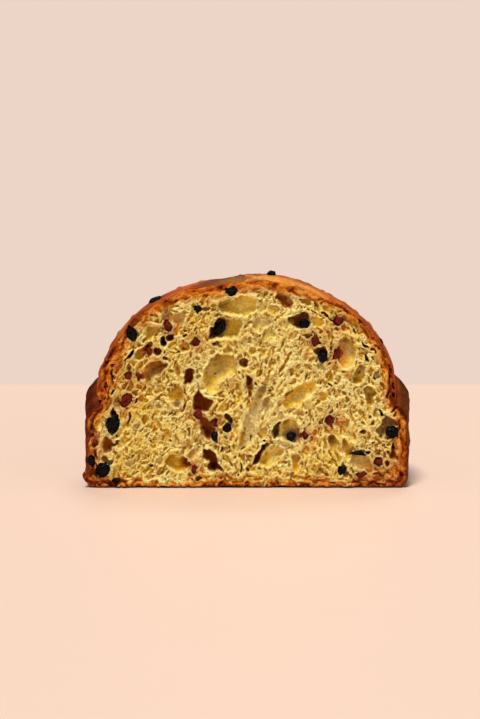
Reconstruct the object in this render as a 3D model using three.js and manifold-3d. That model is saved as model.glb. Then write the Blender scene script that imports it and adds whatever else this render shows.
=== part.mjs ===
// Half of a low panettone, cut from top to base and standing on its base.
// The crumb and its crust were baked as one body. The dried fruits are bodies of their own,
// each one lying in a pocket of the loaf.
// Millimetres, +Z up. The cut face looks along -Y, and +X is to its right.
// The origin is under the middle of the whole model, at the height of the base.

import * as THREE from "three";
import { mergeVertices } from "three/addons/utils/BufferGeometryUtils.js";
import Module from "manifold-3d";

const wasm = await Module();
wasm.setup();

// ---------------------------------------------------------------- driving dimensions

const LOAF_HEIGHT = 141; // base to the top of the dome
const WALL_RADIUS = 107.5; // side wall, where the paper mould held the dough
const BASE_RADIUS = 101.5; // flat round face that the loaf stands on
const BASE_CORNER_HEIGHT = 7; // rounded corner between the base and the side wall
const WALL_HEIGHT = 60.5; // top of the straight part of the side wall
const RIM_HEIGHT = 72; // where the shoulder above the wall meets the dome
const DOME_RADIUS = 99.5; // widest ring of the dome, mostly hidden behind the shoulder
const DOME_CENTRE_HEIGHT = 58; // height of that widest ring
const CUT_DISTANCE = 16; // from the loaf's axis forward to the cut face

const NOTCH_WALL_DROP = 13.5; // the wall's straight part ends this much lower at the cut
const NOTCH_RIM_DROP = 16; // and the shoulder this much
const NOTCH_SWEEP = THREE.MathUtils.degToRad(11); // arc behind the cut over which it recovers

const CROWN_LUMP_HEIGHT = 1.6; // low swelling beside the top of the dome
const CROWN_LUMP_X = 12;
const CROWN_LUMP_WIDTH = 17;

const FRUIT_GAP = 0.35; // clearance between a fruit and its pocket
const FRUIT_WRINKLE = 0.07; // depth of a fruit's folds, as a share of its radius

const LATHE_SEGMENTS = 80;
const DOME_RINGS = 9;
const LARGE_FRUIT = 10; // a fruit this long or longer has the finer mesh
const LARGE_HOLLOW = 13; // and so has a hollow this wide

const cutY = -CUT_DISTANCE;

// ---------------------------------------------------------------- materials

const breadMaterial = new THREE.MeshStandardMaterial({ color: 0xc98f45, roughness: 0.85, metalness: 0 });
const raisinMaterial = new THREE.MeshStandardMaterial({ color: 0x15121a, roughness: 0.45, metalness: 0 });
const cranberryMaterial = new THREE.MeshStandardMaterial({ color: 0x7a1f16, roughness: 0.4, metalness: 0 });

// ---------------------------------------------------------------- solids and meshes

// Closed three.js geometry to a manifold-3d solid.
function solidFrom(geometry) {
  const bare = geometry.clone();
  bare.deleteAttribute("normal");
  bare.deleteAttribute("uv");
  const merged = mergeVertices(bare, 1e-4);
  const mesh = new wasm.Mesh({
    numProp: 3,
    vertProperties: new Float32Array(merged.attributes.position.array),
    triVerts: new Uint32Array(merged.index.array),
  });
  mesh.merge();
  return new wasm.Manifold(mesh);
}

// The largest single body of a solid, without crumbs that a cut may have freed.
function largestBody(solid) {
  const bodies = solid.decompose();
  bodies.sort((a, b) => b.volume() - a.volume());
  return bodies[0];
}

function geometryFrom(solid) {
  const mesh = solid.getMesh();
  const geometry = new THREE.BufferGeometry();
  geometry.setAttribute("position", new THREE.BufferAttribute(new Float32Array(mesh.vertProperties), 3));
  geometry.setIndex(new THREE.BufferAttribute(new Uint32Array(mesh.triVerts), 1));
  geometry.computeVertexNormals();
  return geometry;
}

function mixed(a, b, t) {
  return THREE.MathUtils.lerp(a, b, t);
}

// ---------------------------------------------------------------- outside of the loaf

// 1 at either end of the cut, falling to 0 a little way behind it.
function notchStrength(azimuth) {
  const cutEnd = Math.asin(CUT_DISTANCE / WALL_RADIUS);
  const fromRightEnd = Math.abs(azimuth + cutEnd);
  const fromLeftEnd = Math.abs(azimuth - Math.PI - cutEnd);
  const fromNearest = Math.min(fromRightEnd, fromLeftEnd);
  return 1 - THREE.MathUtils.smoothstep(fromNearest, 0, NOTCH_SWEEP);
}

// Gentle unevenness of the wall and the shoulder around the loaf.
function waviness(azimuth) {
  return 0.8 * Math.sin(3 * azimuth + 0.6) + 0.5 * Math.sin(7 * azimuth + 2.1);
}

// Points from the middle of the base, up the wall, over the shoulder and the dome to its top,
// at one azimuth: x is the distance from the axis, y the height.
function outlineAt(azimuth) {
  const notch = notchStrength(azimuth);
  const wave = waviness(azimuth);
  const wallTop = WALL_HEIGHT - NOTCH_WALL_DROP * notch + wave;
  const rimTop = RIM_HEIGHT - NOTCH_RIM_DROP * notch + wave;
  const points = [new THREE.Vector2(0, 0), new THREE.Vector2(BASE_RADIUS / 2, 0)];

  const cornerSteps = 3;
  for (let step = 0; step <= cornerSteps; step += 1) {
    const turn = (step / cornerSteps) * Math.PI / 2;
    const radius = mixed(BASE_RADIUS, WALL_RADIUS - 0.4, Math.sin(turn));
    points.push(new THREE.Vector2(radius, BASE_CORNER_HEIGHT * (1 - Math.cos(turn))));
  }

  const wallSteps = 3;
  for (let step = 1; step <= wallSteps; step += 1) {
    const height = mixed(BASE_CORNER_HEIGHT, wallTop, step / wallSteps);
    const bulge = 0.4 * Math.sin((step / wallSteps) * Math.PI / 2);
    points.push(new THREE.Vector2(WALL_RADIUS - 0.4 + bulge, height));
  }

  const domeStart = Math.asin((rimTop - DOME_CENTRE_HEIGHT) / (LOAF_HEIGHT - DOME_CENTRE_HEIGHT));
  const rimRadius = DOME_RADIUS * Math.cos(domeStart) + 0.6;
  const rimSteps = 4;
  for (let step = 1; step <= rimSteps; step += 1) {
    const rise = step / rimSteps;
    const radius = mixed(WALL_RADIUS, rimRadius, rise ** 1.3);
    points.push(new THREE.Vector2(radius, mixed(wallTop, rimTop, rise)));
  }

  for (let ring = 1; ring <= DOME_RINGS; ring += 1) {
    const rise = mixed(domeStart, Math.PI / 2, ring / DOME_RINGS);
    const height = DOME_CENTRE_HEIGHT + (LOAF_HEIGHT - DOME_CENTRE_HEIGHT) * Math.sin(rise);
    const radius = ring === DOME_RINGS ? 0 : DOME_RADIUS * Math.cos(rise);
    points.push(new THREE.Vector2(radius, height));
  }
  return points;
}

// Height of the swelling beside the top of the dome.
function crownLump(x, y) {
  const distance = Math.hypot(x - CROWN_LUMP_X, y) / CROWN_LUMP_WIDTH;
  return CROWN_LUMP_HEIGHT * (Math.exp(-distance * distance) - Math.exp(-((CROWN_LUMP_X / CROWN_LUMP_WIDTH) ** 2)));
}

function domeHeight(x, y) {
  const share = Math.hypot(x, y) / DOME_RADIUS;
  const dome = (LOAF_HEIGHT - DOME_CENTRE_HEIGHT) * Math.sqrt(Math.max(0, 1 - share * share));
  return DOME_CENTRE_HEIGHT + dome + crownLump(x, y);
}

function wholeLoaf() {
  const nominal = outlineAt(Math.PI / 2);
  const geometry = new THREE.LatheGeometry(nominal, LATHE_SEGMENTS);
  const position = geometry.attributes.position;
  const rings = nominal.length;
  for (let column = 0; column <= LATHE_SEGMENTS; column += 1) {
    const azimuth = ((column % LATHE_SEGMENTS) / LATHE_SEGMENTS) * 2 * Math.PI - Math.PI / 2;
    const outline = outlineAt(azimuth);
    for (let ring = 0; ring < rings; ring += 1) {
      const x = outline[ring].x * Math.cos(azimuth);
      const y = outline[ring].x * Math.sin(azimuth);
      const lump = outline[ring].y > RIM_HEIGHT ? crownLump(x, y) : 0;
      position.setXYZ(column * rings + ring, x, y, outline[ring].y + lump);
    }
  }
  return solidFrom(geometry);
}

// ---------------------------------------------------------------- dried fruits

// Every fruit in the cut face: x and z of its middle, its width across and length along,
// and how far its length leans to the right from upright, in degrees. "inside" is the depth of
// its middle behind the cut face, for those that lie back in a hollow.
const raisins = [
  { x: -10.5, z: 131.5, across: 6.2, along: 8.5, lean: 80 },
  { x: -32.5, z: 120, across: 5.5, along: 6, lean: 0 },
  { x: -76, z: 103.5, across: 6.2, along: 9.3, lean: -8 },
  { x: -18.5, z: 106.5, across: 6, along: 11, lean: 35, inside: 4 },
  { x: 37.5, z: 109.5, across: 6, along: 7, lean: 15, inside: 3 },
  { x: 49.5, z: 88, across: 6, along: 8, lean: -20 },
  { x: -89, z: 42, across: 8.6, along: 12, lean: 5 },
  { x: -104, z: 18, across: 5.4, along: 7.3, lean: -10 },
  { x: -96, z: 11.5, across: 8, along: 9.3, lean: 20 },
  { x: -87, z: 5, across: 3.4, along: 5.4, lean: 85 },
  { x: -21.5, z: 34.5, across: 4.8, along: 6.7, lean: -12 },
  { x: -13.5, z: 40.5, across: 5.4, along: 6.2, lean: 0 },
  { x: 28.5, z: 34.5, across: 6, along: 6.2, lean: 0, inside: 3 },
  { x: 95.5, z: 37, across: 8.4, along: 8.8, lean: 30 },
  { x: 62.5, z: 12, across: 5.4, along: 6.2, lean: -15 },
  { x: 74, z: 23.5, across: 3.2, along: 11.2, lean: 98 },
];

const cranberries = [
  { x: -52.5, z: 108.5, across: 6.6, along: 6.8, lean: 0 },
  { x: -34, z: 97.5, across: 5.4, along: 6, lean: 0 },
  { x: 59.5, z: 112, across: 6.2, along: 6.6, lean: 70 },
  { x: 45, z: 98.5, across: 6.6, along: 8, lean: 15 },
  { x: 58.5, z: 89.5, across: 4.6, along: 9.3, lean: 5 },
  { x: -64.5, z: 91.5, across: 3.4, along: 6, lean: 0 },
  { x: -78.5, z: 75, across: 5.4, along: 6, lean: 0 },
  { x: -71.5, z: 75, across: 3.4, along: 5.4, lean: 0 },
  { x: -79.5, z: 59, across: 7.5, along: 12, lean: 25 },
  { x: -32.5, z: 49, across: 6, along: 6.8, lean: -20 },
  { x: -23, z: 44, across: 4, along: 8, lean: -30 },
  { x: 55, z: 45.5, across: 6.6, along: 8, lean: 10 },
  { x: 37.5, z: 35.5, across: 5.4, along: 7.4, lean: -15 },
  { x: -34.5, z: 12.5, across: 3.4, along: 9.3, lean: 10 },
  { x: -38.5, z: 16.5, across: 3.4, along: 3.6, lean: 0 },
  { x: 87, z: 18, across: 6, along: 6.8, lean: 0 },
  { x: 75.5, z: 9, across: 6, along: 9.2, lean: 85 },
  { x: -101, z: 30, across: 4.6, along: 6, lean: 0 },
];

// Raisins that broke through the dome's crust: x, the distance behind the cut face,
// and the lean that follows the crust's slope.
const crustRaisins = [
  { x: -60.5, behind: 14, across: 6.4, along: 9.4, lean: 62 },
  { x: 16, behind: 17, across: 6, along: 7, lean: 95 },
  { x: 87.5, behind: 10, across: 4.4, along: 5.6, lean: -25 },
];

// A wrinkled oval of the given size, standing upright at the origin.
function fruitGeometry(fruit, seed, grow) {
  const detail = fruit.along >= LARGE_FRUIT ? 2 : 1;
  const geometry = new THREE.IcosahedronGeometry(1, detail);
  const position = geometry.attributes.position;
  const direction = new THREE.Vector3();
  const half = new THREE.Vector3(fruit.across / 2, fruit.across * 0.46, fruit.along / 2);
  for (let index = 0; index < position.count; index += 1) {
    direction.fromBufferAttribute(position, index).normalize();
    const around = Math.atan2(direction.y, direction.x);
    const folds = Math.sin(4 * around + seed) * Math.cos(2.5 * direction.z + seed);
    const radius = 1 + FRUIT_WRINKLE * folds;
    position.setXYZ(
      index,
      direction.x * (half.x * radius + grow),
      direction.y * (half.y * radius + grow),
      direction.z * (half.z * radius + grow),
    );
  }
  return geometry;
}

// Middle of a fruit in the cut face: a third of it stands out of the bread, unless it lies deeper.
function faceFruitPlace(fruit) {
  const depth = fruit.inside ?? fruit.across * 0.2;
  return new THREE.Vector3(fruit.x, cutY + depth, fruit.z);
}

function crustFruitPlace(fruit) {
  const y = cutY + fruit.behind;
  return new THREE.Vector3(fruit.x, y, domeHeight(fruit.x, y));
}

function placedFruit(fruit, place, seed, grow) {
  const geometry = fruitGeometry(fruit, seed, grow);
  geometry.rotateY(THREE.MathUtils.degToRad(fruit.lean));
  geometry.translate(place.x, place.y, place.z);
  return geometry;
}

const fruits = [];

function addFruits(list, label, placeOf, material) {
  for (const fruit of list) {
    const count = fruits.filter((other) => other.label === label).length + 1;
    const name = `${label}_${String(count).padStart(2, "0")}`;
    fruits.push({ fruit, label, name, material, place: placeOf(fruit), seed: 1.7 * fruits.length });
  }
}

addFruits(raisins, "raisin", faceFruitPlace, raisinMaterial);
addFruits(crustRaisins, "crust_raisin", crustFruitPlace, raisinMaterial);
addFruits(cranberries, "cranberry", faceFruitPlace, cranberryMaterial);

// ---------------------------------------------------------------- hollows of the crumb

// The largest gas holes that the knife opened: x and z of the middle, width across,
// length along, and the lean of the length to the right from upright, in degrees.
const hollows = [
  { x: -6, z: 123, across: 11, along: 20, lean: 82 },
  { x: -12, z: 106.5, across: 15, along: 19, lean: 75 },
  { x: 24, z: 125.5, across: 8, along: 13, lean: 100 },
  { x: 35, z: 112, across: 10.5, along: 15, lean: 80 },
  { x: 66.5, z: 90, across: 16, along: 19.5, lean: -8 },
  { x: 73.5, z: 75.5, across: 9, along: 12.5, lean: 10 },
  { x: 81, z: 60, across: 8.5, along: 17, lean: 5 },
  { x: 32.5, z: 63, across: 9, along: 19, lean: 66 },
  { x: -18, z: 77, across: 18.5, along: 19.5, lean: 0 },
  { x: -38, z: 75.5, across: 8, along: 9.5, lean: 15 },
  { x: -47.5, z: 62.5, across: 13, along: 16, lean: 0 },
  { x: -30, z: 59.5, across: 10, along: 14.5, lean: 20 },
  { x: -63, z: 77, across: 16, along: 17, lean: 0 },
  { x: -63.5, z: 104, across: 9, along: 12.5, lean: 50 },
  { x: -68.5, z: 92, across: 8.5, along: 13.5, lean: 40 },
  { x: -52.5, z: 100, across: 8, along: 10, lean: 80 },
  { x: -46.5, z: 16.5, across: 12.5, along: 14, lean: 90 },
  { x: -25.5, z: 18.5, across: 10.5, along: 14.5, lean: -15 },
  { x: 21.5, z: 38, across: 11, along: 12.5, lean: 60 },
  { x: 9.5, z: 24, across: 10, along: 12, lean: 0 },
  { x: 1, z: 37.5, across: 7, along: 19, lean: 8 },
  { x: -90.5, z: 30, across: 10.5, along: 13, lean: 80 },
];

const HOLLOW_DEPTH_SHARE = 0.38; // depth behind the cut face, as a share of the width

function hollowGeometry(hollow) {
  const detail = hollow.across >= LARGE_HOLLOW ? 2 : 1;
  const geometry = new THREE.IcosahedronGeometry(1, detail);
  geometry.scale(hollow.across / 2, hollow.across * HOLLOW_DEPTH_SHARE, hollow.along / 2);
  geometry.rotateY(THREE.MathUtils.degToRad(hollow.lean));
  geometry.translate(hollow.x, cutY, hollow.z);
  return geometry;
}

// ---------------------------------------------------------------- assembly

function halfLoaf() {
  const spread = 4 * WALL_RADIUS;
  const keptSide = new THREE.BoxGeometry(spread, spread, spread);
  keptSide.translate(0, cutY + spread / 2, 0);
  let loaf = wholeLoaf().intersect(solidFrom(keptSide));
  for (const hollow of hollows) {
    loaf = loaf.subtract(solidFrom(hollowGeometry(hollow)));
  }
  for (const { fruit, place, seed } of fruits) {
    loaf = loaf.subtract(solidFrom(placedFruit(fruit, place, seed, FRUIT_GAP)));
  }
  return geometryFrom(largestBody(loaf));
}

const panettone = new THREE.Group();

const loafMesh = new THREE.Mesh(halfLoaf(), breadMaterial);
loafMesh.name = "half_loaf";
panettone.add(loafMesh);

for (const { fruit, name, material, place, seed } of fruits) {
  const mesh = new THREE.Mesh(placedFruit(fruit, place, seed, 0), material);
  mesh.name = name;
  panettone.add(mesh);
}

// Stand the model with the origin under the middle of its bounding box.
const extent = new THREE.Box3().setFromObject(panettone);
const middle = extent.getCenter(new THREE.Vector3());
panettone.position.set(-middle.x, -middle.y, -extent.min.z);

export default panettone;
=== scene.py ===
# Looks of half a low panettone: open crumb in the cut face, a baked crust round it, dried fruits.
# Lengths are in millimetres along the loaf's own axes, x to the right of the cut face, y from the
# cut face into the loaf and z up from the base. They become metres when a mesh is made.

import math

import bmesh
import bpy
import numpy as np
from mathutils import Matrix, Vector


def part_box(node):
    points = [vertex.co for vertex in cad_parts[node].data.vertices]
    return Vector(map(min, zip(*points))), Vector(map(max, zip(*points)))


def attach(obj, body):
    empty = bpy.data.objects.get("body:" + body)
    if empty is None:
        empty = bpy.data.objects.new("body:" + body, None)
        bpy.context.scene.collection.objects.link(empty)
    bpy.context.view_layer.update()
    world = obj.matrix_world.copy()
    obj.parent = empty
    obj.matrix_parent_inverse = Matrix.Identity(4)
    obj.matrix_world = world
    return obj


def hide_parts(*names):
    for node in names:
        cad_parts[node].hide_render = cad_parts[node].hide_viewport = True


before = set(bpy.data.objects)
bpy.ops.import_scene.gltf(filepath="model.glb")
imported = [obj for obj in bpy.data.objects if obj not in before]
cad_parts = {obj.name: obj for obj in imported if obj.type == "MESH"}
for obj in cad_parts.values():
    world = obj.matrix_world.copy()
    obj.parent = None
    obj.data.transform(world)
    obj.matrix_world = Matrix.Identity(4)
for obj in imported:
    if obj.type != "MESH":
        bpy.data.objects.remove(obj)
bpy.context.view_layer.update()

# ------------------------------------------------------------------ sizes, from the frame

loaf_low, loaf_high = [np.array(corner) * 1000 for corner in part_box("half_loaf")]
CUT_Y = loaf_low[1]
WALL_RADIUS = (loaf_high[0] - loaf_low[0]) / 2
LOAF_HEIGHT = loaf_high[2]
AXIS_Y = loaf_high[1] - CUT_Y - WALL_RADIUS  # the loaf's axis, behind the cut face
BASE_RADIUS = WALL_RADIUS - 6  # flat face that the loaf stands on
CORNER_HEIGHT = 7  # rounded corner between the base and the side wall
WALL_HEIGHT = 60.5  # top of the side wall
RIM_HEIGHT = 72  # where the shoulder above the wall meets the dome
RIM_LEDGE = 0.6  # how far the shoulder ends outside the dome
SHOULDER_CURVE = 1.3  # the shoulder slopes in nearly straight
DOME_RADIUS = WALL_RADIUS - 8  # widest ring of the dome
DOME_CENTRE = 58  # and its height
NOTCH_WALL_DROP = 13.5  # the wall ends this much lower at the cut
NOTCH_RIM_DROP = 16  # and the shoulder this much
NOTCH_SWEEP = math.radians(11)  # arc behind the cut over which they recover
CROWN_LUMP_HEIGHT = 1.6  # low swelling beside the top of the dome
CROWN_LUMP_X = 12
CROWN_LUMP_WIDTH = 17
PLEAT_PITCH = 6.5  # between the ridges that the pleated paper mould left on the wall
EYE_HEIGHT = 50  # every point of the outside can be seen from this height on the cut plane
FAR = 200  # from there, past every point of the loaf


def mixed(a, b, t):
    return a + (b - a) * t


def smooth(low, high, value):
    """0 up to low and 1 from high on, with an even rise between them."""
    t = np.clip((value - low) / (high - low), 0, 1)
    return t * t * (3 - 2 * t)


def bell(value, width):
    """1 where the value is 0, falling off on both sides over the width."""
    return np.exp(-((value / width) ** 2))


def rgb(red, green, blue):
    """A colour given as 0 to 255 in sRGB, in linear light."""
    share = np.array([red, green, blue]) / 255
    return np.where(share <= 0.04045, share / 12.92, ((share + 0.055) / 1.055) ** 2.4)


# ------------------------------------------------------------------ noise


def lattice_value(ix, iy, iz, seed):
    """A number from -1 to 1 for each corner of a lattice, by scrambling the corner's bits."""
    bits = (ix * 374761393 + iy * 668265263 + iz * 1274126177 + seed * 974634777) & 0xFFFFFFFF
    bits = ((bits ^ (bits >> 13)) * 1274126177) & 0xFFFFFFFF
    bits = bits ^ (bits >> 16)
    return (bits & 0xFFFFFF) / 0x7FFFFF - 1


def noise(x, y, z, cell, seed):
    """Smooth noise from -1 to 1 with features about cell millimetres across."""
    x, y, z = np.broadcast_arrays(x, y, z)
    corners = [np.floor(axis / cell).astype(np.int64) for axis in (x, y, z)]
    parts = [axis / cell - corner for axis, corner in zip((x, y, z), corners)]
    weights = [part * part * (3 - 2 * part) for part in parts]
    total = 0
    for dx in (0, 1):
        for dy in (0, 1):
            for dz in (0, 1):
                value = lattice_value(corners[0] + dx, corners[1] + dy, corners[2] + dz, seed)
                share = 1
                for step, weight in zip((dx, dy, dz), weights):
                    share = share * (weight if step else 1 - weight)
                total = total + value * share
    return total


def layered_noise(x, y, z, cell, seed, layers=3):
    """Noise with each further layer half as large and half as strong."""
    total = 0
    for layer in range(layers):
        total = total + noise(x, y, z, cell / 2**layer, seed + layer) / 2**layer
    return total / (2 - 2 ** (1 - layers))


# ------------------------------------------------------------------ outside of the loaf


def loaf_azimuth(x, y):
    """Direction round the loaf's axis, without a jump along the outside."""
    azimuth = np.arctan2(y - AXIS_Y, x)
    return np.where(azimuth < -math.pi / 2, azimuth + 2 * math.pi, azimuth)


def notch_strength(azimuth):
    """1 at either end of the cut, falling to 0 a little way behind it."""
    cut_end = math.asin(AXIS_Y / WALL_RADIUS)
    nearest = np.minimum(np.abs(azimuth + cut_end), np.abs(azimuth - math.pi - cut_end))
    return 1 - smooth(0, NOTCH_SWEEP, nearest)


def shoulder_heights(azimuth):
    """Top of the side wall, and where the shoulder above it meets the dome."""
    notch = notch_strength(azimuth)
    wave = 0.8 * np.sin(3 * azimuth + 0.6) + 0.5 * np.sin(7 * azimuth + 2.1)
    return WALL_HEIGHT - NOTCH_WALL_DROP * notch + wave, RIM_HEIGHT - NOTCH_RIM_DROP * notch + wave


def crown_lump(x, y):
    """Swelling of the dome, with nothing added at its very top."""
    lump = bell(x - CROWN_LUMP_X, CROWN_LUMP_WIDTH) * bell(y, CROWN_LUMP_WIDTH)
    return CROWN_LUMP_HEIGHT * (lump - bell(CROWN_LUMP_X, CROWN_LUMP_WIDTH))


def dome_radius(z):
    share = (z - DOME_CENTRE) / (LOAF_HEIGHT - DOME_CENTRE)
    return DOME_RADIUS * np.sqrt(np.clip(1 - share**2, 0, 1))


def shoulder_radius(rise, rim_top):
    """Distance of the shoulder from the axis, where rise runs from 0 at the wall to 1 at the rim."""
    return mixed(WALL_RADIUS, dome_radius(rim_top) + RIM_LEDGE, rise**SHOULDER_CURVE)


def loaf_radius(azimuth, z):
    """Distance of the outside from the loaf's axis."""
    wall_top, rim_top = shoulder_heights(azimuth)
    shoulder = shoulder_radius(np.clip((z - wall_top) / (rim_top - wall_top), 0, 1), rim_top)
    corner_rise = 1 - np.clip(z / CORNER_HEIGHT, 0, 1)
    wall = mixed(BASE_RADIUS, WALL_RADIUS, np.sqrt(1 - corner_rise**2))
    radius = np.where(z < wall_top, wall, np.where(z < rim_top, shoulder, dome_radius(z)))
    return np.where(z < 0, -1, radius)


def is_inside(x, y, z):
    height = np.where(z > RIM_HEIGHT, z - crown_lump(x, y - AXIS_Y), z)
    return loaf_radius(loaf_azimuth(x, y), height) > np.hypot(x, y - AXIS_Y)


# Rows of the outside's grid, counted up from the middle of the base, and its columns.
BASE_ROWS = 18
CORNER_ROWS = 5
WALL_ROWS = 34
RIM_ROWS = 12
DOME_ROWS = 96
FIRST_DOME_ROW = BASE_ROWS + CORNER_ROWS + WALL_ROWS + RIM_ROWS
OUTSIDE_COLUMNS = 320


def outside_grid():
    """Points of the outside, one row for each height from the middle of the base to the top of
    the dome, one column for each direction from the right end of the cut round to its left end."""
    turn = np.linspace(0, math.pi, OUTSIDE_COLUMNS)[None, :]

    def reach(radius):
        return AXIS_Y * np.sin(turn) + np.sqrt(radius**2 - (AXIS_Y * np.cos(turn)) ** 2)

    elevations = []

    def add_row(height, away):
        elevations.append(np.arctan2(height - EYE_HEIGHT, away))

    wall_reach = reach(WALL_RADIUS)
    wall_top, rim_top = shoulder_heights(loaf_azimuth(wall_reach * np.cos(turn), wall_reach * np.sin(turn)))
    for step in range(BASE_ROWS):
        add_row(0, reach(BASE_RADIUS) * (step + 0.02) / BASE_ROWS)
    for step in range(CORNER_ROWS):
        bend = math.radians(90) * step / CORNER_ROWS
        add_row(CORNER_HEIGHT * (1 - math.cos(bend)), reach(mixed(BASE_RADIUS, WALL_RADIUS, math.sin(bend))))
    for step in range(WALL_ROWS):
        add_row(mixed(CORNER_HEIGHT, wall_top, step / WALL_ROWS), wall_reach)
    for step in range(RIM_ROWS + 1):
        rise = step / RIM_ROWS
        add_row(mixed(wall_top, rim_top, rise), reach(shoulder_radius(rise, rim_top)))
    first = elevations[-1]
    for step in range(1, DOME_ROWS):
        elevations.append(mixed(first, math.pi / 2, step / DOME_ROWS))
    elevation = np.vstack(elevations)

    away_x = np.cos(elevation) * np.cos(turn)
    away_y = np.cos(elevation) * np.sin(turn)
    away_z = np.sin(elevation)
    near = np.zeros_like(elevation)
    far = np.full_like(elevation, FAR)
    for _ in range(36):  # halves the span that holds the outside until it is far below a micrometre
        middle = (near + far) / 2
        inside = is_inside(middle * away_x, middle * away_y + 1e-6, EYE_HEIGHT + middle * away_z)
        near = np.where(inside, middle, near)
        far = np.where(inside, far, middle)
    return np.stack([near * away_x, near * away_y, EYE_HEIGHT + near * away_z], -1)


def grid_normals(points):
    """Unit normals of a grid of points, pointing away from the loaf."""
    along = np.gradient(points, axis=1)
    up = np.gradient(points, axis=0)
    normals = np.cross(along, up)
    return normals / np.maximum(np.linalg.norm(normals, axis=-1, keepdims=True), 1e-9)


def pleat_wave(around, z):
    """1 on a ridge of the wall's pleats and -1 in a groove."""
    return np.sin(2 * math.pi * around / PLEAT_PITCH + 1.8 * noise(around, 0, z / 4, 15, 13))


def outside_relief(points):
    """How far each point of the outside stands out or in: pleats on the wall where the paper
    mould held it, wrinkles and blisters on the dome, pits in the base."""
    x, y, z = points[..., 0], points[..., 1], points[..., 2]
    around = np.arctan2(y - AXIS_Y, x) * WALL_RADIUS
    rim_top = shoulder_heights(loaf_azimuth(x, y))[1]
    on_dome = smooth(-1, 6, z - rim_top)
    on_base = 1 - smooth(0.5, 5, z)
    on_wall = np.clip(1 - on_dome - on_base, 0, 1)

    pleats = 0.3 * pleat_wave(around, z) + 0.35 * noise(around, 0, z / 9, 3.4, 11)
    pleats = pleats + 0.2 * noise(around, 0, z / 6, 1.8, 12) - 0.3 * smooth(0.3, 0.8, noise(x, y, z, 3.4, 14))
    wall = pleats + 0.7 * layered_noise(x, y, z, 14, 21) + 0.3 * noise(x, y, z, 3, 22)
    near_cut = 1 - smooth(2, 14, y)
    wall = wall + near_cut * (1.1 * noise(x, y, z, 7, 23) + 0.6 * noise(x, y, z, 2.6, 24))
    torn_corner = bell(z - 8.5, 3.2) * bell(y, 4) * (x < 0)
    wall = wall + 2.2 * torn_corner

    swell = 1.3 * noise(x, y, z, 34, 31) + 0.6 * noise(x, y, z, 14, 32)
    wrinkle = noise(x, y, z * 1.6, 6.5, 33)
    crease = -0.8 * bell(wrinkle, 0.14) * smooth(-0.3, 0.5, noise(x, y, z, 22, 34))
    fine_wrinkle = noise(x * 0.8, y * 0.8, z * 1.5, 3.3, 37)
    crease = crease - 0.35 * bell(fine_wrinkle, 0.16) * smooth(-0.3, 0.4, noise(x, y, z, 15, 38))
    blister = 0.8 * smooth(0.45, 0.8, noise(x, y, z, 5, 35))
    crown = 1.3 * bell(x + 40, 15) * bell(y, 40) - 2.4 * bell(x + 12, 20) * bell(y, 45)
    swell = swell + crown * smooth(100, 120, z)
    fuller = smooth(40, 75, np.abs(x)) * smooth(66, 84, z) * (1 - smooth(30, 70, y))
    swell = swell + (1.2 + 0.3 * smooth(0, 60, x)) * fuller
    flaky = 0.22 + 0.4 * (1 - smooth(1, 9, y))
    dome = swell + crease + blister + flaky * layered_noise(x, y, z, 3.2, 36)

    pits = 1.1 * smooth(0.35, 0.8, noise(x, y, z, 4, 41)) + 0.5 * smooth(0.3, 0.7, noise(x, y, z, 2.2, 42))
    base = -pits - 0.15
    crease_line = -1.4 * bell(z - rim_top - 0.6, 1.5) * (0.7 + 0.3 * noise(x, y, 0, 12, 43))
    return dome * on_dome + wall * on_wall + base * on_base + crease_line


outside = outside_grid()
relief = outside_relief(outside)
outside = outside + grid_normals(outside) * relief[..., None]
outside[..., 2] = np.maximum(outside[..., 2], 0)
ends = [0, OUTSIDE_COLUMNS - 1]  # the two columns that run along the cut
outside[:, ends, 1] = 0.4 + 0.4 * noise(outside[:, ends, 0], 0, outside[:, ends, 2], 4, 51)
base_pole = np.array([0, 0.2, 0.0])
top_pole = np.array([outside[-1, :, 0].mean(), 0.2, outside[-1, ends, 2].mean() + 0.05])

# The outline of the cut, anticlockwise from the middle of the base.
outline = np.vstack([base_pole, outside[:, 0], top_pole, outside[::-1, -1]])


# ------------------------------------------------------------------ raster of the cut face

STEP = 0.25  # between the raster's points
X_LOW, X_HIGH = -112.0, 112.0
Z_LOW, Z_HIGH = -3.0, 147.0
raster_x = np.arange(X_LOW, X_HIGH, STEP)
raster_z = np.arange(Z_LOW, Z_HIGH, STEP)
face_x, face_z = np.meshgrid(raster_x, raster_z)


def sampled(field, x, z, step=STEP):
    """Values of a raster at given places, between its points."""
    column = np.clip((x - X_LOW) / step, 0, field.shape[1] - 1.001)
    row = np.clip((z - Z_LOW) / step, 0, field.shape[0] - 1.001)
    c, r = column.astype(int), row.astype(int)
    a, b = column - c, row - r
    if field.ndim == 3:
        a, b = a[..., None], b[..., None]
    low = field[r, c] * (1 - a) + field[r, c + 1] * a
    high = field[r + 1, c] * (1 - a) + field[r + 1, c + 1] * a
    return low * (1 - b) + high * b


def blurred(field, sigma):
    """The raster softened over sigma millimetres."""
    rows, columns = field.shape
    pad = int(4 * sigma / STEP) + 1
    padded = np.pad(field, pad, mode="edge")
    fz = np.fft.fftfreq(padded.shape[0], STEP)[:, None]
    fx = np.fft.rfftfreq(padded.shape[1], STEP)[None, :]
    gauss = np.exp(-2 * (math.pi * sigma) ** 2 * (fz**2 + fx**2))
    soft = np.fft.irfft2(np.fft.rfft2(padded) * gauss, s=padded.shape)
    return soft[pad : pad + rows, pad : pad + columns]


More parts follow.
